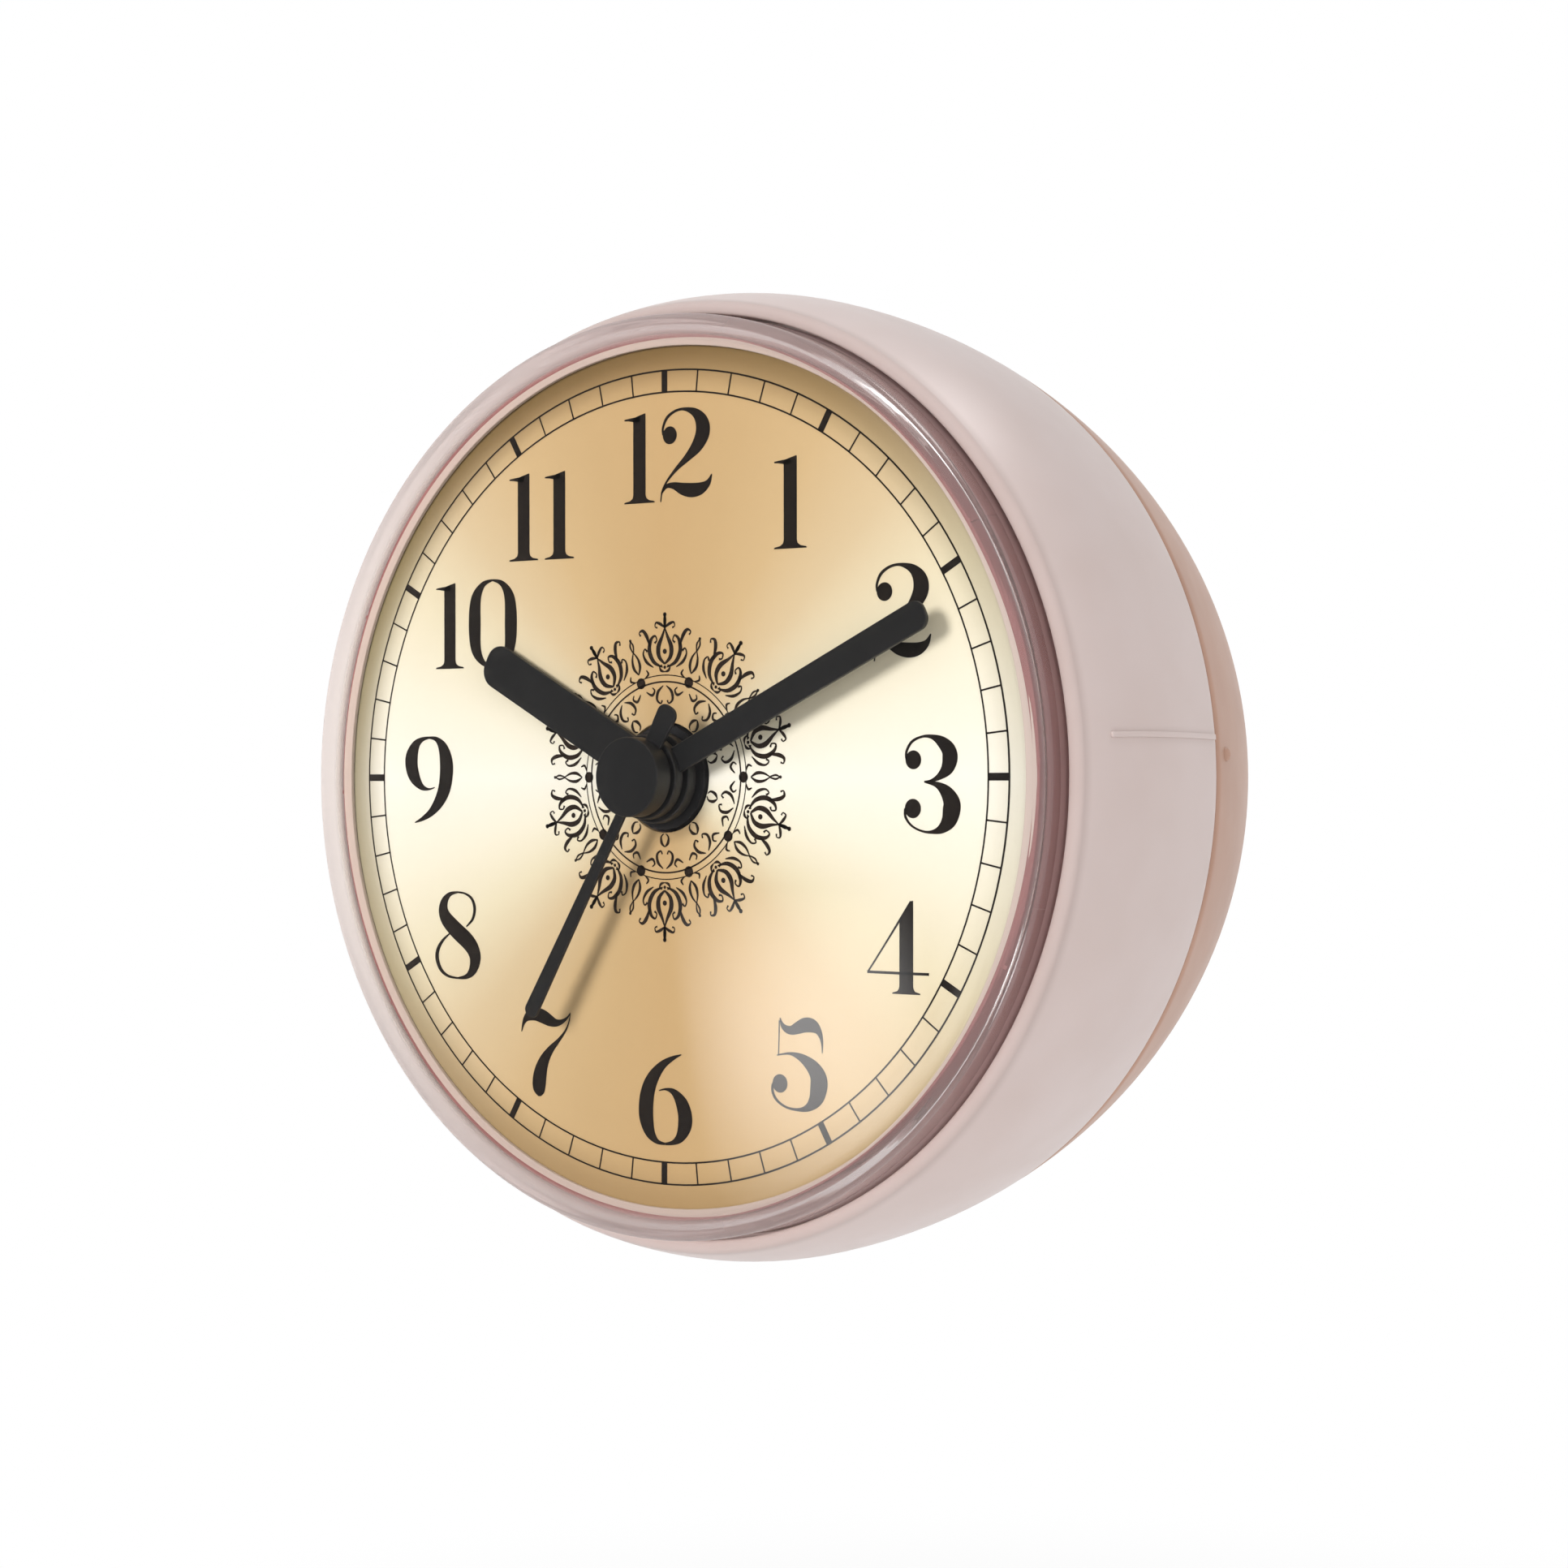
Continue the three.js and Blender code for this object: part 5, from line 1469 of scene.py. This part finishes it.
@dataclass
class Dial:
    """The gold dial plate and what is printed on it."""

    thickness: float = 0.4
    hub_hole: float = 4.2
    numeral_height: float = 7.0
    numeral_radius: float = 24.4
    digit_gap: float = 0.075
    track_outer: float = 30.85
    track_inner: float = 29.2
    line: float = 0.13
    mark_length: float = 1.6
    mark_width: float = 0.55
    rosette_weight: float = 1.55
    rosette_steps: int = 5
    rosette_circles: tuple[tuple[float, float], ...] = ((7.25, 0.13), (7.75, 0.08))
    motif_dots: tuple[tuple[float, float], ...] = ((9.55, 0.2), (12.35, 0.17), (8.35, 0.13))
    between_dots: tuple[tuple[float, float], ...] = ((7.5, 0.42), (10.95, 0.12))
    motifs: int = 10
    ink_depth: float = -0.02
    least_face: float = 1e-9

    def build(self) -> list[bpy.types.Object]:
        """Builds the plate and its print.

        Returns:
            The plate, the numerals, the minute track and the rosette.
        """
        plate = turned([
            (self.hub_hole, 0.0, CRISP), (RIM.dial, 0.0, CRISP),
            (RIM.dial, self.thickness), (self.hub_hole, self.thickness),
        ])
        return [
            finished("sunburst_dial", plate, DIAL_GOLD, Body.CASE, ["dial_plate"]),
            self.numerals(), self.track(), self.rosette_print(),
        ]

    def numerals(self) -> bpy.types.Object:
        """Prints the twelve numerals upright round the dial.

        Returns:
            The print.
        """
        shape = bmesh.new()
        pen = Pen(shape, self.ink_depth)
        for hour in range(1, HOURS + 1):
            digits = str(hour)
            glyphs = [self.glyph(digit) for digit in digits]
            whole = sum(g.width for g in glyphs) + self.digit_gap * (len(glyphs) - 1)
            turn = math.radians(FULL_TURN / HOURS * hour)
            right, up = NUDGES[hour]
            left = self.numeral_radius * math.sin(turn) + right - whole * self.numeral_height / 2
            low = self.numeral_radius * math.cos(turn) + up - self.numeral_height / 2
            for digit, glyph in zip(digits, glyphs):
                self.print_glyph(pen, digit, glyph, left, low)
                left += (glyph.width + self.digit_gap) * self.numeral_height
        return self.printed("numeral_print", shape, DIAL_INK)

    def glyph(self, digit: str) -> Glyph:
        """The numeral's strokes; a nine is a six turned upside down."""
        return GLYPHS["6" if digit == "9" else digit]

    def print_glyph(self, pen: Pen, digit: str, glyph: Glyph, left: float, low: float) -> None:
        """Prints one numeral with its lower left corner at a point of the dial.

        Args:
            pen: What draws it.
            digit: Which numeral it is.
            glyph: Its strokes.
            left: The corner along X.
            low: The corner along Z.
        """
        matrix = Matrix.Translation((left, 0, low)) @ Matrix.Scale(self.numeral_height, 4)
        if digit == "9":
            matrix = matrix @ Matrix.Translation((glyph.width, 0, 1)) @ Matrix.Rotation(math.pi, 4, "Y")
        for stroke in glyph.strokes:
            pen.stroke(stroke, matrix)
        for stem in glyph.stems:
            pen.stroke(stem, matrix, level=True)
        for across, up, radius in glyph.balls:
            pen.dot(across, up, radius, matrix)

    def track(self) -> bpy.types.Object:
        """Prints two fine circles, a line for each minute and a bold mark for each hour.

        Returns:
            The print.
        """
        shape = bmesh.new()
        pen = Pen(shape, self.ink_depth)
        pen.band(self.track_outer, self.line)
        pen.band(self.track_inner, self.line)
        middle = (self.track_outer + self.track_inner) / 2
        for minute in range(MINUTES):
            turn = clock_turn(FULL_TURN / MINUTES * minute)
            bold = minute % (MINUTES // HOURS) == 0
            half = self.mark_length / 2 if bold else (self.track_outer - self.track_inner) / 2
            width = self.mark_width if bold else self.line
            pen.stroke([(0, middle - half, width), (0, middle + half, width)], turn)
        return self.printed("minute_track_print", shape, DIAL_INK)

    def rosette_print(self) -> bpy.types.Object:
        """Prints a traditional rosette: palmettes with sprigs between them, round two fine circles.

        Returns:
            The print.
        """
        shape = bmesh.new()
        pen = Pen(shape, self.ink_depth, self.rosette_steps)
        for radius, width in self.rosette_circles:
            pen.band(radius, width)
        for i in range(self.motifs):
            turn = clock_turn(FULL_TURN * i / self.motifs)
            between = clock_turn(FULL_TURN * (i + 0.5) / self.motifs)
            for mirror in (1, -1):
                flip = Matrix.Scale(mirror, 4, (1, 0, 0))
                for strokes, where in ((PALMETTE, turn), (SPRIG, between)):
                    for stroke in strokes:
                        heavy = [(x, z, width * self.rosette_weight) for x, z, width in stroke]
                        pen.stroke(heavy, where @ flip)
            for dots, where in ((self.motif_dots, turn), (self.between_dots, between)):
                for up, radius in dots:
                    pen.dot(0, up, radius, where)
        return self.printed("rosette_print", shape, ROSETTE_INK)

    def printed(self, name: str, shape: bmesh.types.BMesh, ink: Finish) -> bpy.types.Object:
        """Finishes a print with its faces towards the viewer.

        Args:
            name: The print's name.
            shape: Its bmesh.
            ink: What it is printed with.

        Returns:
            The print.
        """
        facing = [face for face in shape.faces if face.calc_area() > self.least_face]
        for face in facing:
            face.normal_update()
            if face.normal.y > 0:
                face.normal_flip()
        return finished(name, shape, ink, Body.CASE)


# Half of a palmette, with the clock direction of its middle as up: bud, scroll, hooked leaf, tip and heart
PALMETTE = (
    ((0.0, 8.6, 0.10), (0.55, 9.15, 0.22), (0.62, 9.9, 0.26), (0.25, 10.7, 0.16), (0.0, 11.35, 0.06)),
    ((0.0, 11.3, 0.10), (0.03, 11.9, 0.16), (0.0, 12.4, 0.08)),
    ((0.0, 11.35, 0.06), (0.4, 11.62, 0.16), (0.85, 11.75, 0.10), (0.95, 11.45, 0.06), (0.72, 11.35, 0.10)),
    ((0.2, 8.35, 0.06), (1.05, 8.75, 0.20), (1.5, 9.6, 0.24), (1.35, 10.45, 0.18), (0.95, 10.75, 0.10),
     (0.78, 10.4, 0.08), (1.0, 10.2, 0.12)),
    ((1.1, 8.35, 0.05), (1.75, 8.75, 0.16), (2.1, 9.35, 0.10), (1.95, 9.75, 0.08), (1.7, 9.55, 0.12)),
    ((1.45, 9.9, 0.05), (1.75, 10.7, 0.20), (2.15, 11.15, 0.16), (2.5, 11.0, 0.07), (2.35, 10.75, 0.10)),
    ((0.0, 8.0, 0.05), (0.35, 8.1, 0.14), (0.5, 8.4, 0.07), (0.25, 8.5, 0.10)),
    ((0.15, 6.95, 0.05), (0.65, 6.5, 0.16), (0.75, 5.9, 0.14), (0.4, 5.6, 0.08), (0.25, 5.85, 0.10)),
    ((0.0, 5.3, 0.05), (0.3, 5.0, 0.16), (0.35, 4.55, 0.10), (0.1, 4.3, 0.05)),
)
# Half of the sprig that stands between two palmettes
SPRIG = (
    ((0.0, 8.2, 0.06), (0.3, 8.75, 0.16), (0.28, 9.4, 0.12), (0.0, 10.0, 0.05)),
    ((0.0, 9.9, 0.06), (0.15, 10.5, 0.10), (0.0, 10.9, 0.06)),
    ((0.5, 7.75, 0.05), (0.9, 7.95, 0.12), (0.8, 8.3, 0.06)),
    ((0.3, 6.7, 0.06), (0.75, 6.3, 0.14), (1.1, 6.55, 0.10), (0.95, 6.85, 0.06)),
)


# The hands


@dataclass
class Hand:
    """A black hand: a round boss and a flat baton, set to a clock direction."""

    name: str
    node: str
    body: Body
    direction: float
    length: float
    foot_width: float
    width: float
    level: float
    thickness: float
    boss: float
    boss_front: float
    tail: float = 0.0
    tail_width: float = 0.0
    end_round: float = 0.8
    end_steps: int = 7
    edge_round: float = 0.09
    boss_round: float = 0.14
    sharp_deg: float = 60.0

    def blade(self, shape: bmesh.types.BMesh, length: float, foot: float, end: float) -> None:
        """Adds a flat blade from the middle outwards, with a rounded end.

        Args:
            shape: The bmesh that gets it.
            length: How far it reaches; a negative length points the other way.
            foot: Half its width at the middle.
            end: Half its width at the end.
        """
        part = bmesh.new()
        outline = [(-foot, 0), (foot, 0), (end, length), (-end, length)]
        corners = [part.verts.new((x, self.level, z)) for x, z in outline]
        part.faces.new(corners)
        bmesh.ops.bevel(part, geom=corners[2:], offset=end * self.end_round, segments=self.end_steps,
                        profile=ROUND_PROFILE, affect="VERTICES", material=-1)
        grown = bmesh.ops.extrude_face_region(part, geom=part.faces[:])
        bmesh.ops.translate(part, vec=(0, -self.thickness, 0),
                            verts=[v for v in grown["geom"] if isinstance(v, bmesh.types.BMVert)])
        close_up(part)
        rims = [e for e in part.edges if e.calc_face_angle(0) > math.radians(self.sharp_deg)]
        bmesh.ops.bevel(part, geom=rims, offset=self.edge_round, segments=EDGE_STEPS, profile=ROUND_PROFILE,
                        affect="EDGES", material=-1)
        close_up(part)
        join(shape, part)

    def build(self) -> bpy.types.Object:
        """Builds the hand.

        Returns:
            The hand.
        """
        shape = bmesh.new()
        self.blade(shape, self.length, self.foot_width / 2, self.width / 2)
        if self.tail:
            self.blade(shape, -self.tail, self.width / 2, self.tail_width / 2)
        cylinder(shape, self.boss, self.boss_front, self.level + ROOT, edge=self.boss_round)
        bmesh.ops.rotate(shape, verts=shape.verts, cent=(0, 0, 0),
                         matrix=clock_turn(self.direction).to_3x3())
        return finished(self.name, shape, HAND_PAINT, self.body, [self.node])


HANDS = (
    Hand("hour_baton", "hour_hand", Body.HOUR, direction=298.5, length=19.5, foot_width=3.4, width=3.4,
         level=-0.6, thickness=0.5, boss=3.5, boss_front=-1.5),
    Hand("minute_baton", "minute_hand", Body.MINUTE, direction=65.0, length=27.8, foot_width=2.0,
         width=2.2, level=-1.8, thickness=0.4, boss=3.2, boss_front=-2.7),
    Hand("second_baton", "second_hand", Body.SECOND, direction=210.5, length=21.3, foot_width=0.8,
         width=1.3, level=-3.0, thickness=0.3, boss=3.0, boss_front=-4.6, tail=6.1, tail_width=1.9),
)


# The suction cup and the movement


@dataclass
class SuctionCup:
    """The soft cup: a mushroom head in the cover's socket, a stem and a shallow bell with a flat lip."""

    radius: float = 22.5
    lip: float = 1.5
    hollow: float = 2.2
    head: float = 5.6
    stem: float = 4.0
    head_front: float = 36.2
    head_rear: float = 38.1
    crown: float = 40.9
    neck: float = 40.5
    lip_height: float = 0.5
    bell: tuple[tuple[float, float], ...] = (
        (0.36, 0.08), (0.50, 0.21), (0.62, 0.36), (0.74, 0.53), (0.84, 0.70), (0.92, 0.85))
    inner_bell: tuple[tuple[float, float], ...] = ((0.74, 0.45), (0.45, 0.85))
    lip_edge: float = 0.15
    smooth_deg: float = 40.0

    def build(self) -> bpy.types.Object:
        """Builds the cup.

        bell and inner_bell give its outside and its hollow as shares of the radius and of the depth.

        Returns:
            The cup.
        """
        rim = WALL_DEPTH - self.lip_height
        outer = [(self.radius * r, self.crown + (rim - self.crown) * s, SOFT) for r, s in self.bell]
        hollow = [(self.radius * r, WALL_DEPTH - self.hollow * s, WIDE) for r, s in self.inner_bell]
        shape = turned([
            (0, self.head_front), (self.head, self.head_front, WIDE), (self.head, self.head_rear, SOFT),
            (self.stem, self.head_rear, SOFT), (self.stem, self.neck, SOFT), *outer,
            (self.radius, rim, SLIGHT), (self.radius, WALL_DEPTH),
            (self.radius - self.lip, WALL_DEPTH, self.lip_edge), *hollow, (0, WALL_DEPTH - self.hollow),
        ])
        return finished("soft_cup", shape, CUP_VINYL, Body.CUP, ["suction_cup"],
                        self.smooth_deg)


@dataclass
class DryCell:
    """The dry cell in the bay, with its crimped ends and its nub."""

    radius: float = 5.25
    length: float = 44.5
    nub: float = 1.9
    nub_length: float = 0.9
    nub_round: float = 0.25
    depth: float = 9.3
    z: float = -14.375
    steps: int = 96
    crimp: tuple[Point, ...] = (
        (1.2, 0.0, 0.2), (0.15, 0.05, 0.3), (0.05, 1.0, 0.1), (0.3, 1.4, 0.1), (0.0, 1.8, 0.1))
    base: tuple[Point, ...] = ((0.0, 1.0, 0.2), (0.5, 0.02, 0.2), (1.4, 0.0, 0.1))

    def build(self) -> bpy.types.Object:
        """Builds the cell along the hand axis, then lays it along X in its bay.

        crimp and base give the two ends: how far in, how far from the end, and the corner's rounding.

        Returns:
            The cell.
        """
        half = self.length / 2
        front = self.nub_length - half
        nub_end = [(self.nub, -half, self.nub_round), (self.nub, front, SLIGHT)]
        top = [(self.radius - inset, front + back, rounding) for inset, back, rounding in self.crimp]
        bottom = [(self.radius - inset, half - back, rounding) for inset, back, rounding in self.base]
        shape = turned([
            (0, -half), *nub_end, *top, *bottom, (0, half),
        ], self.steps)
        laid = Matrix.Translation((0, self.depth, self.z)) @ Matrix.Rotation(-math.pi / 2, 4, "Z")
        bmesh.ops.transform(shape, matrix=laid, verts=shape.verts)
        return finished("dry_cell", shape, CELL_JACKET, Body.CASE, ["battery_cell"])


@dataclass
class Movement:
    """The small quartz movement: its carried-over parts, each given what it is really made of."""

    finishes: dict[Finish, tuple[str, ...]] = field(default_factory=lambda: {
        MOVEMENT_ABS: ("movement_base", "movement_cover"),
        WHEEL_ACETAL: ("middle_plate", "hour_wheel", "minute_arbor", "centre_wheel", "second_wheel",
                       "third_wheel", "fifth_wheel", "motion_wheel", "setting_knob", "coil_bobbin"),
        STAMPED_STEEL: ("stator", "contact_positive", "contact_negative", "quartz_crystal"),
        MAGNET_STEEL: ("rotor",),
        SCREW_STEEL: ("movement_screw_1", "movement_screw_2", "case_screw_1", "case_screw_2",
                      "case_screw_3", "case_screw_4"),
        COIL_COPPER: ("coil_winding",),
        BOARD_MASK: ("circuit_board",),
        CHIP_EPOXY: ("chip_blob",),
    })

    def dress(self) -> None:
        """Gives every carried-over node its finish."""
        for finish, names in self.finishes.items():
            for name in names:
                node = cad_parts[name]
                node.data.materials.clear()
                node.data.materials.append(finish.material())
                log.info("%s: carried over as %s", name, finish.name)


# The studio

# Bounces count in whole numbers, so this lies between none and the first one
FIRST_BOUNCE = 0.5


class LampUse(Enum):
    """What a lamp is there for: its light on matt surfaces, or its image in glossy and clear ones."""

    LIGHT = "light"
    SHEEN = "sheen"


@dataclass(frozen=True)
class Lamp:
    """A soft square lamp that faces the clock; place and size are in metres, power is in watts."""

    name: str
    place: Point
    size: float
    power: float
    use: LampUse
    target: Point = (0.0, -0.03, 0.0)
    middle: float = 28.0

    def build(self) -> None:
        """Adds the lamp."""
        data = bpy.data.lights.new(self.name, "AREA")
        data.size, data.energy = self.size, self.power
        made = bpy.data.objects.new(self.name, data)
        bpy.context.scene.collection.objects.link(made)
        made.location = self.place
        aim = Vector(self.target) - Vector(self.place)
        made.rotation_euler = aim.to_track_quat("-Z", "Y").to_euler()
        made.visible_diffuse = self.use is LampUse.LIGHT
        made.visible_glossy = made.visible_transmission = self.use is LampUse.SHEEN
        if self.use is LampUse.SHEEN:
            self.soften(emptied(data))

    def soften(self, tree: bpy.types.NodeTree) -> None:
        """Fades the lamp from its middle to its edges, so that its mirror image has no hard border.

        Args:
            tree: The lamp's node tree.
        """
        place = add(tree, "ShaderNodeSeparateXYZ", {
            "Vector": add(tree, "ShaderNodeNewGeometry").outputs["Parametric"]}).outputs
        sides = []
        for along in (place[0], place[1]):
            back = add(tree, MATH, {0: 1.0, 1: along}, operation="SUBTRACT")
            sides.append(add(tree, MATH, {0: along, 1: back}, operation="MULTIPLY"))
        inner = add(tree, MATH, {0: sides[0], 1: sides[1]}, operation="MULTIPLY")
        strength = add(tree, MATH, {0: inner, 1: self.middle}, operation="MULTIPLY")
        light = add(tree, "ShaderNodeEmission", {"Strength": strength})
        add(tree, "ShaderNodeOutputLight", {"Surface": light})


LAMPS = (
    Lamp("key", place=(-0.14, -0.62, 0.17), size=0.2, power=3.0, use=LampUse.LIGHT),
    Lamp("fill", place=(0.60, -0.25, 0.05), size=0.3, power=1.0, use=LampUse.LIGHT),
    Lamp("top", place=(0.20, 0.10, 0.56), size=0.16, power=0.62, use=LampUse.LIGHT),
    Lamp("rear", place=(-0.34, 0.52, 0.30), size=0.3, power=1.1, use=LampUse.LIGHT),
    Lamp("window", place=(-0.205, -0.50, -0.165), size=0.2, power=0.19, use=LampUse.SHEEN),
    Lamp("strip", place=(0.13, 0.20, 0.52), size=0.26, power=0.75, use=LampUse.SHEEN),
    Lamp("low_strip", place=(0.38, 0.28, -0.34), size=0.2, power=0.65, use=LampUse.SHEEN),
)


@dataclass
class Studio:
    """The pale floor, the white surroundings, the lamps and the camera."""

    floor_drop: float = 100.0
    floor_reach: float = 6000.0
    floor_color: str = "FAFAFA"
    fade_from: float = 110.0
    fade_to: float = 190.0
    level: float = 0.5
    flag: Point = (-0.598, -0.801, 0.0)
    flag_level: float = 0.06
    flag_inner: float = 0.88
    flag_outer: float = 0.7
    lens: float = 72.30
    sensor: float = 36.0
    clip_start: float = 0.01
    clip_end: float = 20.0
    eye: Point = (0.150643, -0.233137, -0.000517)
    target: Point = (0.010945, -0.046, -0.000517)

    def build(self) -> None:
        """Builds the whole studio."""
        self.camera()
        self.surroundings()
        self.floor()
        for lamp in LAMPS:
            lamp.build()

    def camera(self) -> None:
        """Puts the camera where the photograph was taken from."""
        data = bpy.data.cameras.new("camera")
        data.lens, data.sensor_width = self.lens, self.sensor
        data.clip_start, data.clip_end = self.clip_start, self.clip_end
        made = bpy.data.objects.new("camera", data)
        bpy.context.scene.collection.objects.link(made)
        made.location = self.eye
        made.rotation_euler = (Vector(self.target) - Vector(self.eye)).to_track_quat("-Z", "Y").to_euler()
        bpy.context.scene.camera = made

    def surroundings(self) -> None:
        """White to the eye, in mirrors and through glass, and a plain soft light on matt surfaces.

        A dark flag stands where the flat middle of the cap mirrors it, so that the dial shows clearly.
        """
        world = bpy.data.worlds.new("white_room")
        bpy.context.scene.world = world
        tree = emptied(world)
        path = add(tree, "ShaderNodeLightPath").outputs
        around = add(tree, "ShaderNodeTexCoord").outputs["Generated"]
        towards = add(tree, "ShaderNodeVectorMath", {0: around, 1: self.flag}, operation="DOT_PRODUCT")
        mirrored_level = add(tree, MAP_RANGE, {
            "Value": towards.outputs["Value"], "From Min": self.flag_inner, "From Max": self.flag_outer,
            "To Min": self.flag_level - self.level, "To Max": 1 - self.level})
        first = add(tree, MATH, {0: path["Diffuse Depth"], 1: FIRST_BOUNCE}, operation="LESS_THAN")
        bounced = add(tree, MATH, {0: path["Glossy Depth"], 1: FIRST_BOUNCE},
                      operation="GREATER_THAN")
        through = add(tree, MATH, {0: path["Is Transmission Ray"], 1: first}, operation="MULTIPLY")
        unbounced = add(tree, MATH, {0: 1.0, 1: bounced}, operation="SUBTRACT")
        straight = add(tree, MATH, {0: through, 1: unbounced}, operation="MULTIPLY")
        direct = add(tree, MATH, {0: path["Is Camera Ray"], 1: straight}, operation="MAXIMUM")
        inside = add(tree, MATH, {0: through, 1: bounced}, operation="MULTIPLY")
        mirrored = add(tree, MATH, {0: path["Is Glossy Ray"], 1: inside}, operation="MAXIMUM")
        glint = add(tree, MATH, {0: mirrored, 1: mirrored_level}, operation="MULTIPLY")
        shown = add(tree, MATH, {0: direct, 1: 1 - self.level, 2: glint}, operation="MULTIPLY_ADD")
        strength = add(tree, MATH, {0: shown, 1: self.level}, operation="ADD")
        light = add(tree, "ShaderNodeBackground", {"Color": linear(WHITE), "Strength": strength})
        add(tree, "ShaderNodeOutputWorld", {"Surface": light})

    def floor(self) -> None:
        """A pale floor below the clock that keeps its shadow and runs into the white behind."""
        shape = bmesh.new()
        bmesh.ops.create_grid(shape, x_segments=1, y_segments=1, size=self.floor_reach)
        mesh = bpy.data.meshes.new("floor")
        bmesh.ops.transform(shape, matrix=Matrix.Scale(MM, 4), verts=shape.verts)
        bmesh.ops.translate(shape, vec=(0, 0, -self.floor_drop * MM), verts=shape.verts)
        shape.to_mesh(mesh)
        shape.free()
        mesh.materials.append(self.floor_paint())
        made = bpy.data.objects.new("floor", mesh)
        bpy.context.scene.collection.objects.link(made)
        made.visible_glossy = made.visible_transmission = False

    def floor_paint(self) -> bpy.types.Material:
        """Makes a matt white that glows to the eye far from the clock.

        Returns:
            The material.
        """
        paint = bpy.data.materials.new("floor_white")
        tree = emptied(paint)
        where = add(tree, "ShaderNodeTexCoord").outputs["Object"]
        away = add(tree, "ShaderNodeVectorMath", {0: where}, operation="LENGTH").outputs["Value"]
        far = add(tree, MAP_RANGE, {
            "Value": away, "From Min": self.fade_from * MM, "From Max": self.fade_to * MM},
            interpolation_type="SMOOTHSTEP")
        seen = add(tree, "ShaderNodeLightPath").outputs["Is Camera Ray"]
        mixed = add(tree, MIX_SHADER, {
            0: add(tree, MATH, {0: seen, 1: far}, operation="MULTIPLY"),
            1: add(tree, "ShaderNodeBsdfDiffuse", {"Color": linear(self.floor_color)}),
            2: add(tree, "ShaderNodeEmission", {"Color": linear(WHITE), "Strength": 1.0})})
        add(tree, "ShaderNodeOutputMaterial", {"Surface": mixed})
        return paint


def plain(corners: Iterable[Vector]) -> list[list[float]]:
    """Corners as plain lists of numbers."""
    return [[float(value) for value in corner] for corner in corners]


def main() -> None:
    """Builds the clock from its barrel outwards."""
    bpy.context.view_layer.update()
    Studio().build()
    barrel = Barrel()
    cover = RearCover()
    barrel.build()
    cover.build(barrel.bore)
    FrontCap().build()
    Seals().build(cover.spigot(barrel.bore))
    DialRing().build()
    Dial().build()
    for hand in HANDS:
        hand.build()
    SuctionCup().build()
    DryCell().build()
    Movement().dress()


if __name__ == "__main__":
    logging.basicConfig(level=logging.INFO, format="%(name)s: %(message)s")
    bpy.context.scene.view_settings.view_transform = "Standard"
    main()
